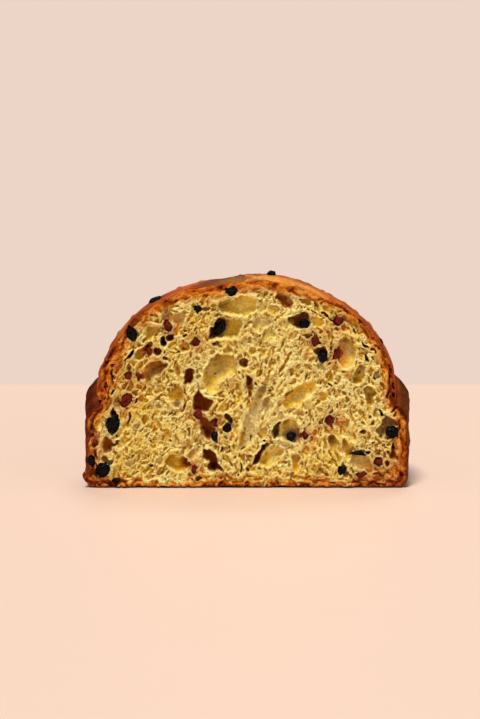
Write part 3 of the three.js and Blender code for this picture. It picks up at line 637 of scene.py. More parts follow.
# Smaller holes and stains: x, z, width, length, lean from upright to the right, depth, how the
# inside is coloured, and how strongly. A stain has no depth.
HOLLOWS = [
    # under the top of the dome
    (-3, 121, 9, 14, 84, 0, "pale", 0.5), (0, 117.5, 5, 10, 75, 0, "gold", 0.3),
    (10.5, 121, 6.4, 6.6, 20, 1.8, "pale", 0.6), (17.5, 119.5, 6, 7, 60, 1.8, "gold", 0.5),
    (46, 123, 2, 4, -35, 3, "dark", 0.5), (52.5, 119.5, 5, 9, 110, 2.2, "gold", 0.8),
    (56, 118, 4, 4.5, 0, 2, "grey", 0.6), (-27.5, 120, 4, 8, 70, 2.4, "brown", 0.6),
    (-22.3, 119.3, 3, 4.2, 60, 3, "gold", 0.8), (6.8, 131.2, 1.4, 3, 66, 2, "brown", 0.9),
    (34, 118.6, 3, 12, 84, 0, "grey", 0.5), (-28, 116, 3, 6, 70, 1, "violet", 0.3),
    (-19.5, 107, 7, 14, 32, 9.5, "dark", 0.8), (-24, 104, 3.4, 8, 10, 8, "red", 0.9),
    (-6, 109.5, 4, 7, 10, 0, "pale", 0.6), (1, 97, 8, 9, 0, 1.8, "grey", 0.4),
    (10, 101.5, 1.8, 9, 0, 0, "brown", 0.7), (12.6, 96.4, 1.6, 6, 80, 0, "brown", 0.5),
    (17.6, 102.6, 1.6, 1.6, 0, 2, "red", 0.5), (7.2, 102.3, 1.2, 1.4, 0, 2, "dark", 0.6),
    (21.6, 104.2, 1.6, 2, 40, 2, "olive", 0.8), (9.5, 111, 6, 15, 84, 1.4, "grey", 0.6),
    (28, 110, 4, 7, 20, 0, "gold", 0.5), (37, 95, 5, 5, 0, 1.4, "red", 0.3),
    (4.5, 91.5, 5, 6, -40, 2.6, "olive", 0.5), (22, 116, 3, 8, 60, 1, "gold", 0.4),
    # upper left
    (-54.5, 87.2, 2.6, 4.2, 84, 3.4, "brown", 0.9), (-54.3, 92.2, 1.8, 2.2, 0, 3, "brown", 0.8),
    (-72, 111, 6, 8, 60, 3, "violet", 0.4), (-69.5, 107, 5, 9, 25, 1.5, "pale", 0.6),
    (-52, 114.5, 8, 9, 0, 3.4, "brown", 0.7), (-45, 113, 8, 9, 40, 3, "grey", 0.75),
    (-49, 118.2, 2, 7, 100, 2, "olive", 0.7), (-63.5, 116, 1.6, 4, 84, 2.6, "brown", 0.8),
    (-60.5, 116, 2.4, 3, 80, 2, "gold", 0.7), (-53, 121.8, 1.2, 4, 80, 2, "brown", 0.9),
    (-45.6, 121.8, 1.3, 4, 84, 2, "brown", 0.7), (-46, 105.5, 6, 8, 30, 2.6, "gold", 0.5),
    (-33, 105.6, 2.6, 4, 60, 3.4, "olive", 0.9), (-40.6, 102.3, 2, 2, 0, 3.4, "dark", 0.7),
    (-40.8, 105.4, 1.3, 1.8, 0, 2.6, "dark", 0.5), (-32.5, 102.7, 1.4, 2.6, 40, 2.6, "dark", 0.5),
    (-42.4, 92.6, 2.6, 3, 0, 5.4, "dark", 0.6), (-46.6, 91.2, 1.5, 1.6, 0, 3, "brown", 0.7),
    (-71.5, 95.5, 3, 4, 30, 2.4, "gold", 0.7), (-64.5, 95.5, 2.6, 7, 30, 5, "brown", 0.85),
    (-64.3, 90, 4.6, 7, 30, 2, "violet", 0.35), (-59, 77.5, 7, 7, 0, 0, "red", 0.45),
    (-68, 76, 2.6, 6, 20, 4, "red", 0.8), (-71.3, 74.2, 1.6, 4.6, 34, 4.6, "dark", 0.95),
    (-79, 75.5, 5, 6, 30, 2, "violet", 0.6), (-79.5, 58.5, 9, 17, 25, 0, "red", 0.7),
    (-64.6, 71, 3.4, 5, 0, 0, "olive", 0.5), (-66, 82.6, 2.4, 5, 60, 0, "dark", 0.3),
    (-49.3, 77.7, 3, 2.8, 0, 3, "olive", 0.7), (-45.4, 78.7, 1.8, 3.6, 10, 2.6, "brown", 0.7),
    (-52, 74, 2, 2.4, 0, 2.6, "gold", 0.8), (-50, 70.4, 1.4, 2, 0, 2.4, "brown", 0.6),
    (-81.5, 68, 3.4, 3, 0, 2, "orange", 0.6), (-76.5, 68.5, 2, 4, -8, 3, "brown", 0.8),
    (-71, 68.5, 3, 2.4, 0, 2.4, "brown", 0.6), (-48, 64.4, 7, 6, 0, 0, "olive", 0.8),
    (-46.4, 55.6, 5, 5.4, 0, 0, "violet", 0.75), (-43.8, 60, 3, 7, 0, 0, "violet", 0.25),
    (-41.5, 54.7, 1.7, 8.6, 26, 4, "red", 0.8), (-72.9, 59, 1.5, 4.4, 22, 4, "dark", 0.95),
    (-69, 60.4, 5, 6, 0, 2.6, "gold", 0.75), (-55.6, 50, 2.6, 4.6, -10, 3, "olive", 0.8),
    (-52, 50.6, 1.9, 3.6, 10, 3.6, "dark", 0.7), (-78, 46.6, 1.4, 8.6, 30, 4, "brown", 0.95),
    (-59.5, 50, 4, 5, 20, 2, "gold", 0.4), (-68.5, 46, 4, 6, 0, 2, "gold", 0.4),
    (-63, 46.2, 1.5, 2, 0, 2.6, "olive", 0.8), (-60.2, 45.7, 1.2, 1.6, 0, 2.6, "olive", 0.8),
    (-39, 60, 1.6, 6, 24, 3, "olive", 0.7), (-41.5, 58, 1.6, 5, 20, 2.6, "gold", 0.8),
    (-39.7, 64.6, 1.8, 6, -10, 2.6, "brown", 0.7),
    # lower left
    (-57.6, 42, 3, 7, -8, 3, "gold", 0.6), (-56.6, 38.6, 1.3, 2, 0, 3, "dark", 0.7),
    (-53.8, 36.6, 3.4, 5, 10, 2.6, "gold", 0.7), (-60.2, 35.6, 1.6, 3, 0, 3, "olive", 0.8),
    (-58, 32.8, 1.5, 1.8, 0, 3, "olive", 0.9), (-51.6, 32.4, 1.5, 1.8, 0, 3, "dark", 0.6),
    (-64.8, 30.3, 1.4, 1.4, 0, 3, "dark", 0.6), (-57.4, 29.8, 3.4, 4, 0, 2.6, "gold", 0.8),
    (-61.3, 26.8, 3, 3, 60, 2.6, "gold", 0.7), (-74.6, 37, 1.6, 2, 20, 3, "dark", 0.7),
    (-76, 22.2, 1.6, 5, 64, 2.6, "olive", 0.7), (-68.5, 17.2, 1.6, 4, 60, 2.4, "olive", 0.8),
    (-64.4, 15.1, 1.6, 3.6, 88, 4, "dark", 0.95), (-58.5, 18.5, 6, 6, 30, 1.6, "grey", 0.6),
    (-79, 17.5, 4, 8, 50, 1.4, "grey", 0.7), (-73.5, 40, 5, 7, 10, 1.4, "grey", 0.55),
    (-36, 22.5, 7, 7, 0, 2, "grey", 0.75), (-41.8, 20.3, 2, 3, 60, 2, "olive", 0.6),
    (-54, 38.7, 3, 3, 0, 0, "orange", 0.5), (-82.6, 32.8, 3, 2.4, 0, 0, "orange", 0.7),
    (-49, 23.6, 3, 9, 84, 0, "orange", 0.5), (-46.6, 24.5, 1.4, 3, 20, 2, "red", 0.7),
    (-85.2, 30.9, 1.8, 3.6, 80, 6, "black", 0.9), (-91, 21.4, 3, 5, 60, 0, "pale", 0.6),
    (-96, 41, 3, 8, 0, 2, "violet", 0.5), (-99, 42, 5, 9, 10, 2, "gold", 0.6),
    (-86, 34.6, 2, 3, 0, 3, "red", 0.8), (-100, 20, 3, 5, 0, 3, "brown", 0.6),
    (-70.2, 7.6, 2, 3, 0, 1, "orange", 0.7), (-40.2, 7.8, 1.6, 1.6, 0, 2, "red", 0.7),
    (-37.2, 4.3, 1.8, 2.4, 0, 2, "dark", 0.7), (-31.3, 5.2, 3.4, 5, 80, 4, "black", 0.9),
    # the middle
    (-20.9, 76.4, 1.3, 2.6, 40, 8.5, "dark", 0.8), (-18.3, 76.6, 3.6, 4, 0, 0, "grey", 0.8),
    (-12.5, 82, 9, 10, 0, 0, "pale", 0.55), (-25, 67, 4, 8, 10, 0, "olive", 0.6),
    (-10, 66, 10, 14, 0, 1.4, "gold", 0.15), (-6.4, 86.5, 1.8, 3, 30, 2.4, "grey", 0.8),
    (-7.8, 83.5, 1.4, 1.6, 0, 2.4, "olive", 0.6), (3.4, 67, 2, 12, 0, 4, "gold", 0.5),
    (0.2, 70, 1.6, 11, -4, 7, "dark", 0.7), (-2.8, 75, 1.2, 4, 0, 2.6, "brown", 0.5),
    (6, 70.3, 1.3, 3, 0, 3, "dark", 0.8), (13.8, 65.3, 1.4, 3.4, 60, 2.6, "black", 1),
    (11, 63.6, 3, 4, 50, 1.6, "grey", 0.8), (16.8, 66.6, 1.6, 3, 30, 2, "grey", 0.7),
    (19.3, 70.5, 1.4, 2, 0, 2.6, "grey", 0.8), (10, 60, 1.6, 4, 84, 0, "brown", 0.5),
    (41.2, 82.4, 2.6, 3, 0, 3, "gold", 0.9), (33.5, 82.3, 3, 4, 84, 2.4, "olive", 0.7),
    (33, 75.6, 2.6, 4.4, 10, 3.2, "gold", 0.9), (40.9, 73.7, 1.8, 2.2, 0, 3.4, "olive", 0.9),
    (48.5, 81, 6, 6, 0, 2.6, "grey", 0.7), (43, 77.4, 1.6, 3, 70, 2.4, "gold", 0.8),
    (38, 62, 10, 8, 60, 0, "pale", 0.5), (32, 59.5, 5, 7, 70, 0, "grey", 0.5),
    (1, 57.6, 3, 5, 10, 0, "orange", 1), (-4.2, 53, 2, 3.6, 0, 0, "orange", 0.7),
    (18.3, 55, 2.2, 3, 20, 0, "orange", 1), (19.8, 58, 2.2, 4, 30, 3, "olive", 0.95),
    (7, 57, 1.4, 6, 10, 3, "brown", 0.8), (8.6, 51.5, 2, 8, 12, 3, "brown", 0.6),
    (6.5, 45, 2.4, 8, 10, 2.6, "grey", 0.7), (3.4, 51, 2.4, 7, 24, 0, "grey", 0.6),
    (1.6, 38, 3.4, 10, 12, 0, "grey", 0.5), (1.6, 32.6, 1.1, 4.2, 14, 6, "black", 0.95),
    (-3.8, 33, 2.2, 11, 0, 0, "olive", 0.6), (-2, 26, 1, 4, 60, 5, "brown", 0.8),
    (10, 36.5, 5, 8, 24, 2.6, "olive", 0.6), (10.6, 32.4, 1.2, 3.2, 75, 4, "black", 1),
    (12.4, 28.8, 3, 5, 10, 5, "violet", 0.7), (22, 48, 4, 5, 0, 1.6, "grey", 0.7),
    (18, 49, 2.6, 2, 0, 1.6, "olive", 0.6), (28.8, 49.6, 1.4, 3.2, 36, 2, "red", 1),
    (24, 31.4, 2.4, 6, 80, 0, "brown", 0.6), (32.5, 34, 3, 8, 0, 0, "pale", 0.4),
    (7.4, 23.5, 3.4, 5, 10, 9, "red", 0.9), (12.5, 18.5, 6, 9, 30, 0, "gold", 0.8),
    (19.6, 18.4, 2.6, 7, 50, 2.4, "olive", 0.6), (22, 24, 5, 5, 0, 0, "pale", 0.3),
    (-3.4, 14.2, 1.4, 6.6, 0, 4, "brown", 0.9), (1.2, 12.8, 1.6, 4, -40, 4, "brown", 0.9),
    (2.6, 20.2, 1.8, 2.4, 60, 3, "brown", 0.7), (-13, 18.6, 2.4, 4, -10, 3, "olive", 0.8),
    (-8, 15.4, 2.2, 3, 0, 2.6, "olive", 0.8), (-18.4, 25.7, 1.8, 3.4, 0, 3.4, "dark", 0.8),
    (-16, 25.7, 2.4, 3, 0, 2.4, "olive", 0.5), (-13.4, 26.8, 1.4, 2.4, 60, 3, "dark", 0.8),
    (-5.6, 9.8, 1.4, 3, -10, 3, "brown", 0.8), (-19, 8.6, 4, 4, 0, 0, "orange", 0.8),
    (-17, 6.8, 1.6, 2.4, 80, 4, "black", 0.9), (-7.2, 39, 3, 6, 0, 3, "gold", 0.9),
    (-13.4, 34.4, 1.6, 2.6, 60, 2.4, "olive", 0.6), (-9, 59, 1.8, 7, -10, 2.4, "gold", 0.8),
    (-6, 61, 1.8, 7, 0, 2.4, "gold", 0.8), (-21.8, 52.8, 1.1, 1.1, 0, 2, "red", 0.9),
    (-16.6, 57.8, 1.1, 1.4, 0, 1, "red", 0.9), (-18, 44, 5, 12, -36, 0, "red", 0.4),
    (-19, 51, 5, 8, 60, 0, "pale", 0.4), (-28, 38, 5, 7, 0, 0, "dark", 0.5),
    (-22.5, 13.3, 6, 4, 80, 9.5, "dark", 0.8), (-31, 29.5, 2, 5, 0, 3, "brown", 0.7),
    (20, 10.4, 3, 3.4, 40, 1.4, "orange", 0.9), (8.5, 6.4, 3, 3, 0, 0, "orange", 0.9),
    (27.5, 8.8, 2, 2.4, 0, 2, "grey", 0.7), (35.6, 17, 2, 8, 4, 0, "grey", 0.6),
    # right
    (62.5, 97, 4.4, 6, 30, 0, "brown", 0.5), (61.3, 91, 4, 14, 0, 0, "brown", 0.7),
    (67, 93, 6, 10, 0, 0, "grey", 0.7), (63.5, 86, 5, 9, 0, 0, "orange", 0.6),
    (66.5, 82.5, 6, 5, 0, 0, "orange", 0.35), (73, 87.3, 2, 2.2, 0, 0, "violet", 0.6),
    (74.4, 79, 5, 6, 0, 0, "grey", 0.6), (73, 77.4, 3, 3.4, 0, 6.5, "brown", 0.6),
    (72.6, 71.6, 5, 5, 0, 7, "olive", 0.9), (80.5, 65, 6, 6, 0, 6, "olive", 0.7),
    (80, 57, 2.6, 14, -8, 0, "brown", 0.5), (54.6, 69.6, 2, 3.4, -28, 6, "black", 0.9),
    (54.8, 72, 5, 5, 0, 2, "olive", 0.6), (58.2, 70.6, 1.3, 1.8, 0, 3, "brown", 0.8),
    (78.4, 96.4, 2.6, 5.6, -34, 5, "dark", 0.85), (78.3, 85.9, 2.6, 5, -12, 5, "dark", 0.8),
    (71.4, 105.2, 2, 4.6, -20, 4, "dark", 0.85), (67.2, 111, 1.6, 2.2, -20, 3, "dark", 0.7),
    (68.8, 108, 1.6, 2, -20, 3, "dark", 0.7), (81.6, 86.5, 1.5, 1.8, 0, 3, "dark", 0.7),
    (82.5, 91.5, 1.6, 4, -26, 3, "brown", 0.7), (77.3, 92.8, 1.6, 4, -40, 2.6, "olive", 0.7),
    (85.3, 94.5, 1.7, 5, -30, 3, "brown", 0.8), (58.4, 106.4, 3, 3, 0, 2, "olive", 0.7),
    (52.6, 105.4, 1.6, 2.4, -10, 0, "orange", 0.9), (47, 105, 3, 3.4, 0, 1.6, "gold", 0.7),
    (66, 106.5, 3, 6, -40, 1.2, "gold", 0.5), (54.2, 93.8, 1.6, 1.6, 0, 2.6, "dark", 0.5),
    (53.8, 97, 1.8, 2.4, 0, 2.6, "olive", 0.7), (57, 85, 2.4, 8, -14, 0, "red", 0.8),
    (81, 74.7, 1.5, 2.4, -30, 4, "black", 0.8), (83.8, 73, 1.6, 2.8, -44, 4, "black", 0.8),
    (85.3, 75.6, 4, 6.4, 10, 1.6, "violet", 0.7), (88.6, 75, 1.6, 5, -30, 3, "olive", 0.8),
    (88.6, 68.4, 2, 7, -20, 4, "olive", 0.95), (91.5, 62.4, 1.8, 5, 0, 4, "brown", 0.85),
    (89, 76.5, 1.4, 2.4, -20, 2.4, "olive", 0.7), (50.5, 116, 1.6, 8, 132, 4, "brown", 0.9),
    (54.5, 113, 1.6, 6, 118, 4, "brown", 0.9), (42.8, 118, 1.3, 3.6, 138, 3, "brown", 0.8),
    (49.3, 61, 4.6, 7, 24, 3, "gold", 0.75), (46, 57.8, 2.6, 5, 20, 4.6, "olive", 0.85),
    (63.7, 53.7, 2, 4, 0, 2.6, "gold", 0.8), (62.4, 63.8, 2.4, 3, 0, 3, "gold", 0.8),
    (66.6, 62.8, 1.6, 1.6, 0, 3, "brown", 0.8), (75, 55.4, 2, 4.6, -14, 3.4, "olive", 0.85),
    (74, 50.6, 1.8, 4, -10, 3, "olive", 0.8), (58, 55.2, 1.4, 2.4, 0, 2.6, "red", 0.8),
    (55.3, 52.5, 1.2, 3, 0, 2.4, "red", 0.8), (43.8, 46, 1.4, 1.8, 0, 3, "red", 0.6),
    (37.3, 51.3, 1.3, 1.6, 0, 2.6, "brown", 0.7), (84.6, 47.8, 1.5, 2.2, 0, 3, "olive", 0.9),
    (81, 47.6, 1.6, 2, 0, 4, "dark", 0.8), (77.5, 43.5, 2, 4, -30, 3, "olive", 0.8),
    (82.6, 43.6, 2.4, 3, 0, 1.6, "brown", 0.5), (46.6, 37.8, 1.3, 1.3, 0, 2.6, "olive", 0.8),
    (43.6, 36, 1.8, 6, 0, 2.4, "gold", 0.8), (69.6, 33.4, 2, 5, 0, 0, "orange", 0.7),
    (36.4, 49.5, 3, 4, 0, 0, "orange", 0.4), (40, 35, 4, 9, -10, 0, "gold", 0.6),
    (72.2, 28.6, 1.8, 1.6, 0, 2.4, "brown", 0.7), (83.5, 30.4, 2, 3, 70, 3.4, "brown", 0.9),
    (85.3, 39.4, 3, 4, 0, 0, "red", 0.7), (92.3, 42.2, 4.4, 6, 0, 0, "violet", 0.5),
    (96.6, 49, 2.4, 3.4, 10, 5, "olive", 0.9), (99.9, 40, 1.4, 5, 0, 4, "red", 0.85),
    (102, 32.6, 1.2, 4, -50, 2, "red", 0.9), (96.9, 27, 1.5, 5.4, 0, 8, "black", 0.9),
    (96.4, 20.6, 5, 5, 0, 0, "dark", 0.4), (93.4, 23.3, 1.2, 1.8, 0, 4, "dark", 0.9),
    (92.6, 16.2, 3, 4, -30, 5, "dark", 0.95), (86.6, 9.9, 2, 4.6, 84, 4.5, "dark", 0.95),
    (83.5, 18.5, 6, 6, 0, 0, "violet", 0.6), (91, 17.8, 2.4, 4, 0, 0, "grey", 0.6),
    (47, 20, 1.6, 4, -20, 3, "olive", 0.9), (42.4, 22.5, 1.6, 3, 0, 2.4, "grey", 0.8),
    (50.8, 24, 1.4, 3, -20, 2.4, "olive", 0.7), (55, 17.4, 1.3, 1.5, 0, 3, "dark", 0.7),
    (38.6, 16, 1.6, 4, 20, 2, "gold", 0.8), (60.3, 20, 2.4, 9, -20, 5.4, "olive", 0.8),
    (47.5, 10.3, 4, 8, 60, 2, "violet", 0.6), (51.8, 7.5, 3, 4, 60, 2, "violet", 0.75),
    (53.3, 8.2, 1.2, 1.6, 0, 0, "orange", 1), (65.6, 9, 4, 5, 0, 3, "dark", 0.35),
    (79.5, 22.5, 2.6, 4, 60, 5, "brown", 0.7), (76, 8, 9, 12, 80, 0, "red", 0.6),
    (57, 4.4, 1.3, 4, 70, 2, "dark", 0.9), (87.5, 2.4, 1.4, 5, 84, 3, "dark", 0.95),
    # between the crust's leaves
    (53.2, 125.2, 1.6, 4.6, 122, 4, "dark", 0.95), (48, 126.6, 1.3, 4, 100, 3, "red", 0.9),
    (71.4, 114.8, 1.8, 4.4, 134, 4, "dark", 0.95), (75.6, 110, 1.7, 5.6, 138, 4, "dark", 0.95),
    (60.6, 121.8, 1.2, 3, 120, 2, "red", 0.8), (89.5, 90, 3, 14, -22, 1.5, "dark", 0.8),
    (93.4, 73.4, 1.6, 7.6, 0, 5, "dark", 0.95), (96.9, 67.5, 3, 7, 0, 6, "black", 0.9),
    (96.2, 61, 2, 4, -30, 5, "red", 0.95), (95, 78, 2.6, 6, -20, 2, "dark", 0.6),
    (-90.4, 83.6, 1.5, 3.8, 34, 5, "black", 0.95), (-87.8, 81.8, 1.3, 2.6, 0, 4, "black", 0.95),
    (-85.1, 78.4, 1.3, 4.4, 14, 3, "black", 0.7), (-88.6, 76, 1.6, 8, 6, 5, "dark", 0.95),
    (-89.6, 71, 1.6, 6, 0, 4, "brown", 0.8), (-94.4, 68.4, 1.8, 6, 0, 5, "black", 0.85),
    (-90.2, 64.4, 2.4, 4, 50, 5, "dark", 0.8), (-92.6, 60.5, 1.6, 4, 20, 3, "red", 0.7),
    (-94.6, 60.5, 1.4, 4, 0, 3, "gold", 0.7), (-102.6, 35.6, 1.6, 1.8, 0, 4, "black", 0.9),
    (-100.5, 15, 1.4, 3, -20, 4, "black", 0.9), (-101, 8.6, 3, 8, -10, 4, "dark", 0.9),
    (-86.5, 5.6, 2, 5, 80, 2, "black", 0.8), (-97, 4, 2.4, 9, 84, 2, "dark", 0.6),
    (95.5, 52.6, 1.7, 6, 38, 5, "dark", 0.8), (-98, 57.4, 1.6, 4, 60, 4, "dark", 0.8),
    (-99.5, 52.5, 2, 7, 70, 1, "red", 0.8), (42, 3.4, 7, 12, 86, 0, "orange", 0.8),
    (43.4, 2, 2, 2.4, 0, 0, "red", 0.8), (95, 8, 11, 22, 80, 0, "crust", 0.85),
    (99, 13, 6, 8, 20, 0, "crust", 0.8), (72, 3.6, 4, 26, 88, 0, "crust", 0.7),
    (88, 6.5, 5, 7, 60, 2, "red", 0.7), (101.5, 8, 2.4, 5, 0, 2, "dark", 0.5),
]


def is_red(node):
    return node.startswith("cranberry")


def is_in_crust(node):
    return node.startswith("crust")


def fruit_oval(node):
    """Middle, half width, half length, lean and half thickness of a fruit of the frame, seen on
    the cut face."""
    points = np.array([vertex.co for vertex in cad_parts[node].data.vertices]) * 1000
    points[:, 1] -= CUT_Y
    low, high = points.min(0), points.max(0)
    middle = (low + high) / 2
    flat = points[:, [0, 2]] - middle[[0, 2]]
    axes = np.linalg.eigh(flat.T @ flat)[1]
    long_axis = axes[:, 1] * np.sign(axes[1, 1] + 1e-9)
    lean = math.degrees(math.atan2(long_axis[0], long_axis[1]))
    half_wide, half_long = np.abs(flat @ axes).max(0)
    return middle, half_wide, half_long, lean, (high[1] - low[1]) / 2


fruit_nodes = sorted(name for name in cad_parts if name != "half_loaf")
ovals = {name: fruit_oval(name) for name in fruit_nodes}

for deep, name, strength, numbers in OPENINGS:
    open_up(numbers, deep, name, strength)

for x, z, across, along, lean, deep, name, strength in HOLLOWS:
    carve(x, z, across, along, lean, deep)
    colour_in(x, z, across, along, lean, name, strength)


def stain_round(node, wider, name, strength, spread):
    """Colours the crumb round a fruit, in an oval that is wider than the fruit."""
    middle, wide, long, lean = ovals[node][:4]
    colour_in(middle[0], middle[2], 2 * wide + wider, 2 * long + wider, lean, name, strength, spread)


# The pocket that each fruit of the cut face sits in, and the juice that it left in the crumb.
for name in fruit_nodes:
    if is_in_crust(name):
        continue
    middle, wide, long, lean, thick = ovals[name]
    fit = 0.86 if is_red(name) else 1.02  # crumb sticks to the edge of the red ones
    carve(middle[0], middle[2], 2 * wide * fit, 2 * long * fit, lean, middle[1] + 0.9 * thick, 0.4)
    if is_red(name):
        stain_round(name, 9, "stain", 0.8, 0.6)
        stain_round(name, 3, "red", 1, 0.4)
    else:
        stain_round(name, 3, "violet", 0.5, 0.4)

placed_depth = depth.copy()

# Strands of crumb that stand proud of the rest: the points each passes through, x then z,
# and its width.
STRANDS = [
    ([-27, 123.5, -18, 126.3, -10, 127.6, -3, 129.8, 3, 129.2, 9, 126.5], 1.3),
    ([-15, 116.6, -5, 115, 3, 113.2], 1.5), ([-1, 112, 3, 107.5, 5.5, 104], 1.1),
    ([-24, 99.5, -16, 98, -8, 98.6, -1, 101.5], 1.4), ([-3, 113, -2.5, 106, -4, 101], 1.2),
    ([-29.5, 60, -29.5, 72, -26, 83, -21, 89.4, -14, 91, -9, 90.6], 1.3),
    ([-8.5, 91, -6.5, 85, -5, 79.6, -2.6, 76.5], 1.2), ([1.8, 91, 4.6, 87.4, 7, 85], 1),
    ([-2, 81, 1, 86, 0, 90], 1), ([-5, 76, -4, 68, -2.5, 60, -3, 52, -4.5, 44], 1.4),
    ([-3, 47, -4.6, 40, -5.6, 31, -4, 25], 1.2), ([3, 64, 6, 60, 8, 62], 1),
    ([8, 61.5, 6.2, 52, 5.4, 44, 6, 37, 8, 31, 9, 26], 1.4), ([13, 61, 11, 54, 8.5, 46, 7.5, 38], 1.1),
    ([26, 71, 20, 64, 16, 57, 12.5, 48, 10, 41], 1.6), ([22, 64, 18, 55, 15, 49, 14, 44], 1.1),
    ([30, 86, 25, 78, 21, 70, 17, 63], 1.3), ([22, 92, 19, 83, 16, 74, 13, 67], 1.2),
    ([12, 90, 11.5, 80, 10.5, 71], 1.1), ([17, 98, 15, 90, 14, 82], 1),
    ([47, 75, 40, 72.6, 33, 69.8, 27, 66.4, 22, 60.5], 1.5),
    ([46, 62.5, 40, 58.6, 33, 55.5, 27, 52], 1.3),
    ([14, 46, 19, 47.6, 25, 48, 31, 48, 35, 44, 36.8, 37, 36, 29, 33, 24], 1.4),
    ([15, 33, 20, 32.4, 26, 30.6, 31, 27.6], 1), ([17, 16.5, 22, 19.4, 24.6, 25], 1.2),
    ([27.6, 24, 28, 14], 1), ([36.6, 22, 35.4, 10], 1.2), ([40, 34, 41, 24, 39, 13], 1.3),
    ([-36, 67, -31, 62.6, -25, 60.4, -16, 58.6], 1.1), ([-24, 56, -21, 51.5, -14, 50.5, -8, 50.4], 1.3),
    ([-29, 26, -21, 28.6, -18, 21, -16, 14], 1.2), ([-10, 31, -12, 24, -9, 16, -10, 9], 1.1),
    ([-5, 23.8, 0, 23, 4.6, 22], 1.6), ([-4, 17, 0, 13, -2, 8], 1.1), ([-34, 27, -38, 34, -36, 46], 1.2),
    ([58, 47, 57, 36, 60, 24, 63, 15], 1.2), ([70, 46, 69, 34, 71.5, 25], 1.3),
    ([52, 44, 49, 32, 50, 19], 1.3), ([64, 47, 63.6, 37, 62, 27], 1), ([78, 51, 79, 41, 84, 34], 1.2),
    ([-45, 26, -52, 24.6, -56, 20], 1), ([56, 103.5, 63, 103.6, 71, 101.6, 76, 94], 1.3),
    ([58.6, 83, 62, 79.6, 70, 81.5], 1.2), ([-71, 97, -64, 100, -60, 96, -55, 94.4], 1.2),
    ([-72, 110, -65, 111.6, -57, 110.6, -52, 106.5], 1.2),
    ([-73, 84, -68, 88.8, -58, 88.4, -52, 83, -52, 74], 1.3),
    ([-56, 70, -54, 62, -50, 53.5, -44, 52], 1.2), ([-41, 69, -47, 71.8, -53.5, 69], 1.1),
    ([-99, 40, -97, 29, -99, 18], 1.2), ([-84, 42, -83, 33, -86, 24], 1.2),
    ([19, 131.5, 26, 131.4, 33, 129, 41, 129.4, 44, 124], 1.2),
    ([27, 119.5, 34, 119.8, 41, 117, 45, 118.4], 1.3),
]
STRAND_STEP = 0.4  # between the places where a strand is laid down
STRAND_TAPER = 8  # places over which a strand thins out at either end

proud = np.zeros_like(face_x)  # how far a strand stands out of the crumb
for numbers, width in STRANDS:
    knots = np.array(numbers, float).reshape(-1, 2)
    along = np.concatenate([[0], np.cumsum(np.linalg.norm(np.diff(knots, axis=0), axis=1))])
    steps = np.arange(0, along[-1], STRAND_STEP)
    curve = np.stack([np.interp(steps, along, knots[:, axis]) for axis in (0, 1)], -1)
    for _ in range(6):
        curve[1:-1] = (curve[:-2] + 2 * curve[1:-1] + curve[2:]) / 4
    for step, (x, z) in enumerate(curve):
        taper = min(1, 0.25 + step / STRAND_TAPER, 0.25 + (len(curve) - step) / STRAND_TAPER)
        window, out = oval_window(x, z, 2 * width, 2 * width, 0, 1.6)
        proud[window] = np.maximum(proud[window], taper * np.exp(-(out**2) * 1.6))

# ------------------------------------------------------------------ fine crumb

draw = np.random.default_rng(20)
CRUST_REACH = 9  # gas holes nearer to the outline than this were pressed flat along it
edge_rise_z, edge_rise_x = np.gradient(blurred(from_edge, 3), STEP)  # points away from the outline


def stretch_lean(x, z):
    """Which way the crumb was stretched as it rose, in degrees from upright."""
    fan = 30 * bell(x - 20, 22) * smooth(15, 45, z)
    splay = -24 * bell(x - 55, 20) * (1 - smooth(30, 60, z))
    left = 34 * bell(x + 68, 28) * (1 - smooth(40, 75, z))
    return fan + splay + left


def sow(count, smallest, largest, deep_share, aspect):
    """Random gas holes in the crumb that is still whole."""
    for _ in range(count):
        x, z = draw.uniform(X_LOW, X_HIGH), draw.uniform(0, Z_HIGH)
        across = draw.uniform(smallest, largest)
        turn, stretch, deeper = draw.uniform(-25, 25), draw.uniform(1, aspect), draw.uniform(0.7, 1.5)
        column, row = int((x - X_LOW) / STEP), int((z - Z_LOW) / STEP)
        if row >= depth.shape[0] or column >= depth.shape[1]:
            continue
        margin = from_edge[row, column]
        if margin < 0.9 + across * 0.5 or depth[row, column] > 0:
            continue
        lean = stretch_lean(x, z) + turn
        if margin < CRUST_REACH:
            rise = math.degrees(math.atan2(edge_rise_x[row, column], edge_rise_z[row, column]))
            lean = rise + 90 + turn * 0.4
            stretch = stretch * 1.5
        carve(x, z, across, across * stretch, lean, across * deep_share * deeper, 0.6)


sow(170, 3.6, 6.5, 0.32, 1.9)
sow(500, 2.2, 3.6, 0.5, 2.2)


LEANS = np.arange(-36, 37, 12)  # the leans that the foam is laid in
BLOCK = 8  # points of the raster that share one lean before the noise is added
lean_here = stretch_lean(face_x[::BLOCK, ::BLOCK], face_z[::BLOCK, ::BLOCK])
lean_here = np.kron(lean_here, np.ones((BLOCK, BLOCK)))[: face_x.shape[0], : face_x.shape[1]]
lean_here = lean_here + 9 * face_noise(11, 65)
nearest_lean = LEANS[np.abs(lean_here[..., None] - LEANS).argmin(-1)]

JITTER = 0.45  # how far a cell's middle strays, as a share of the cell


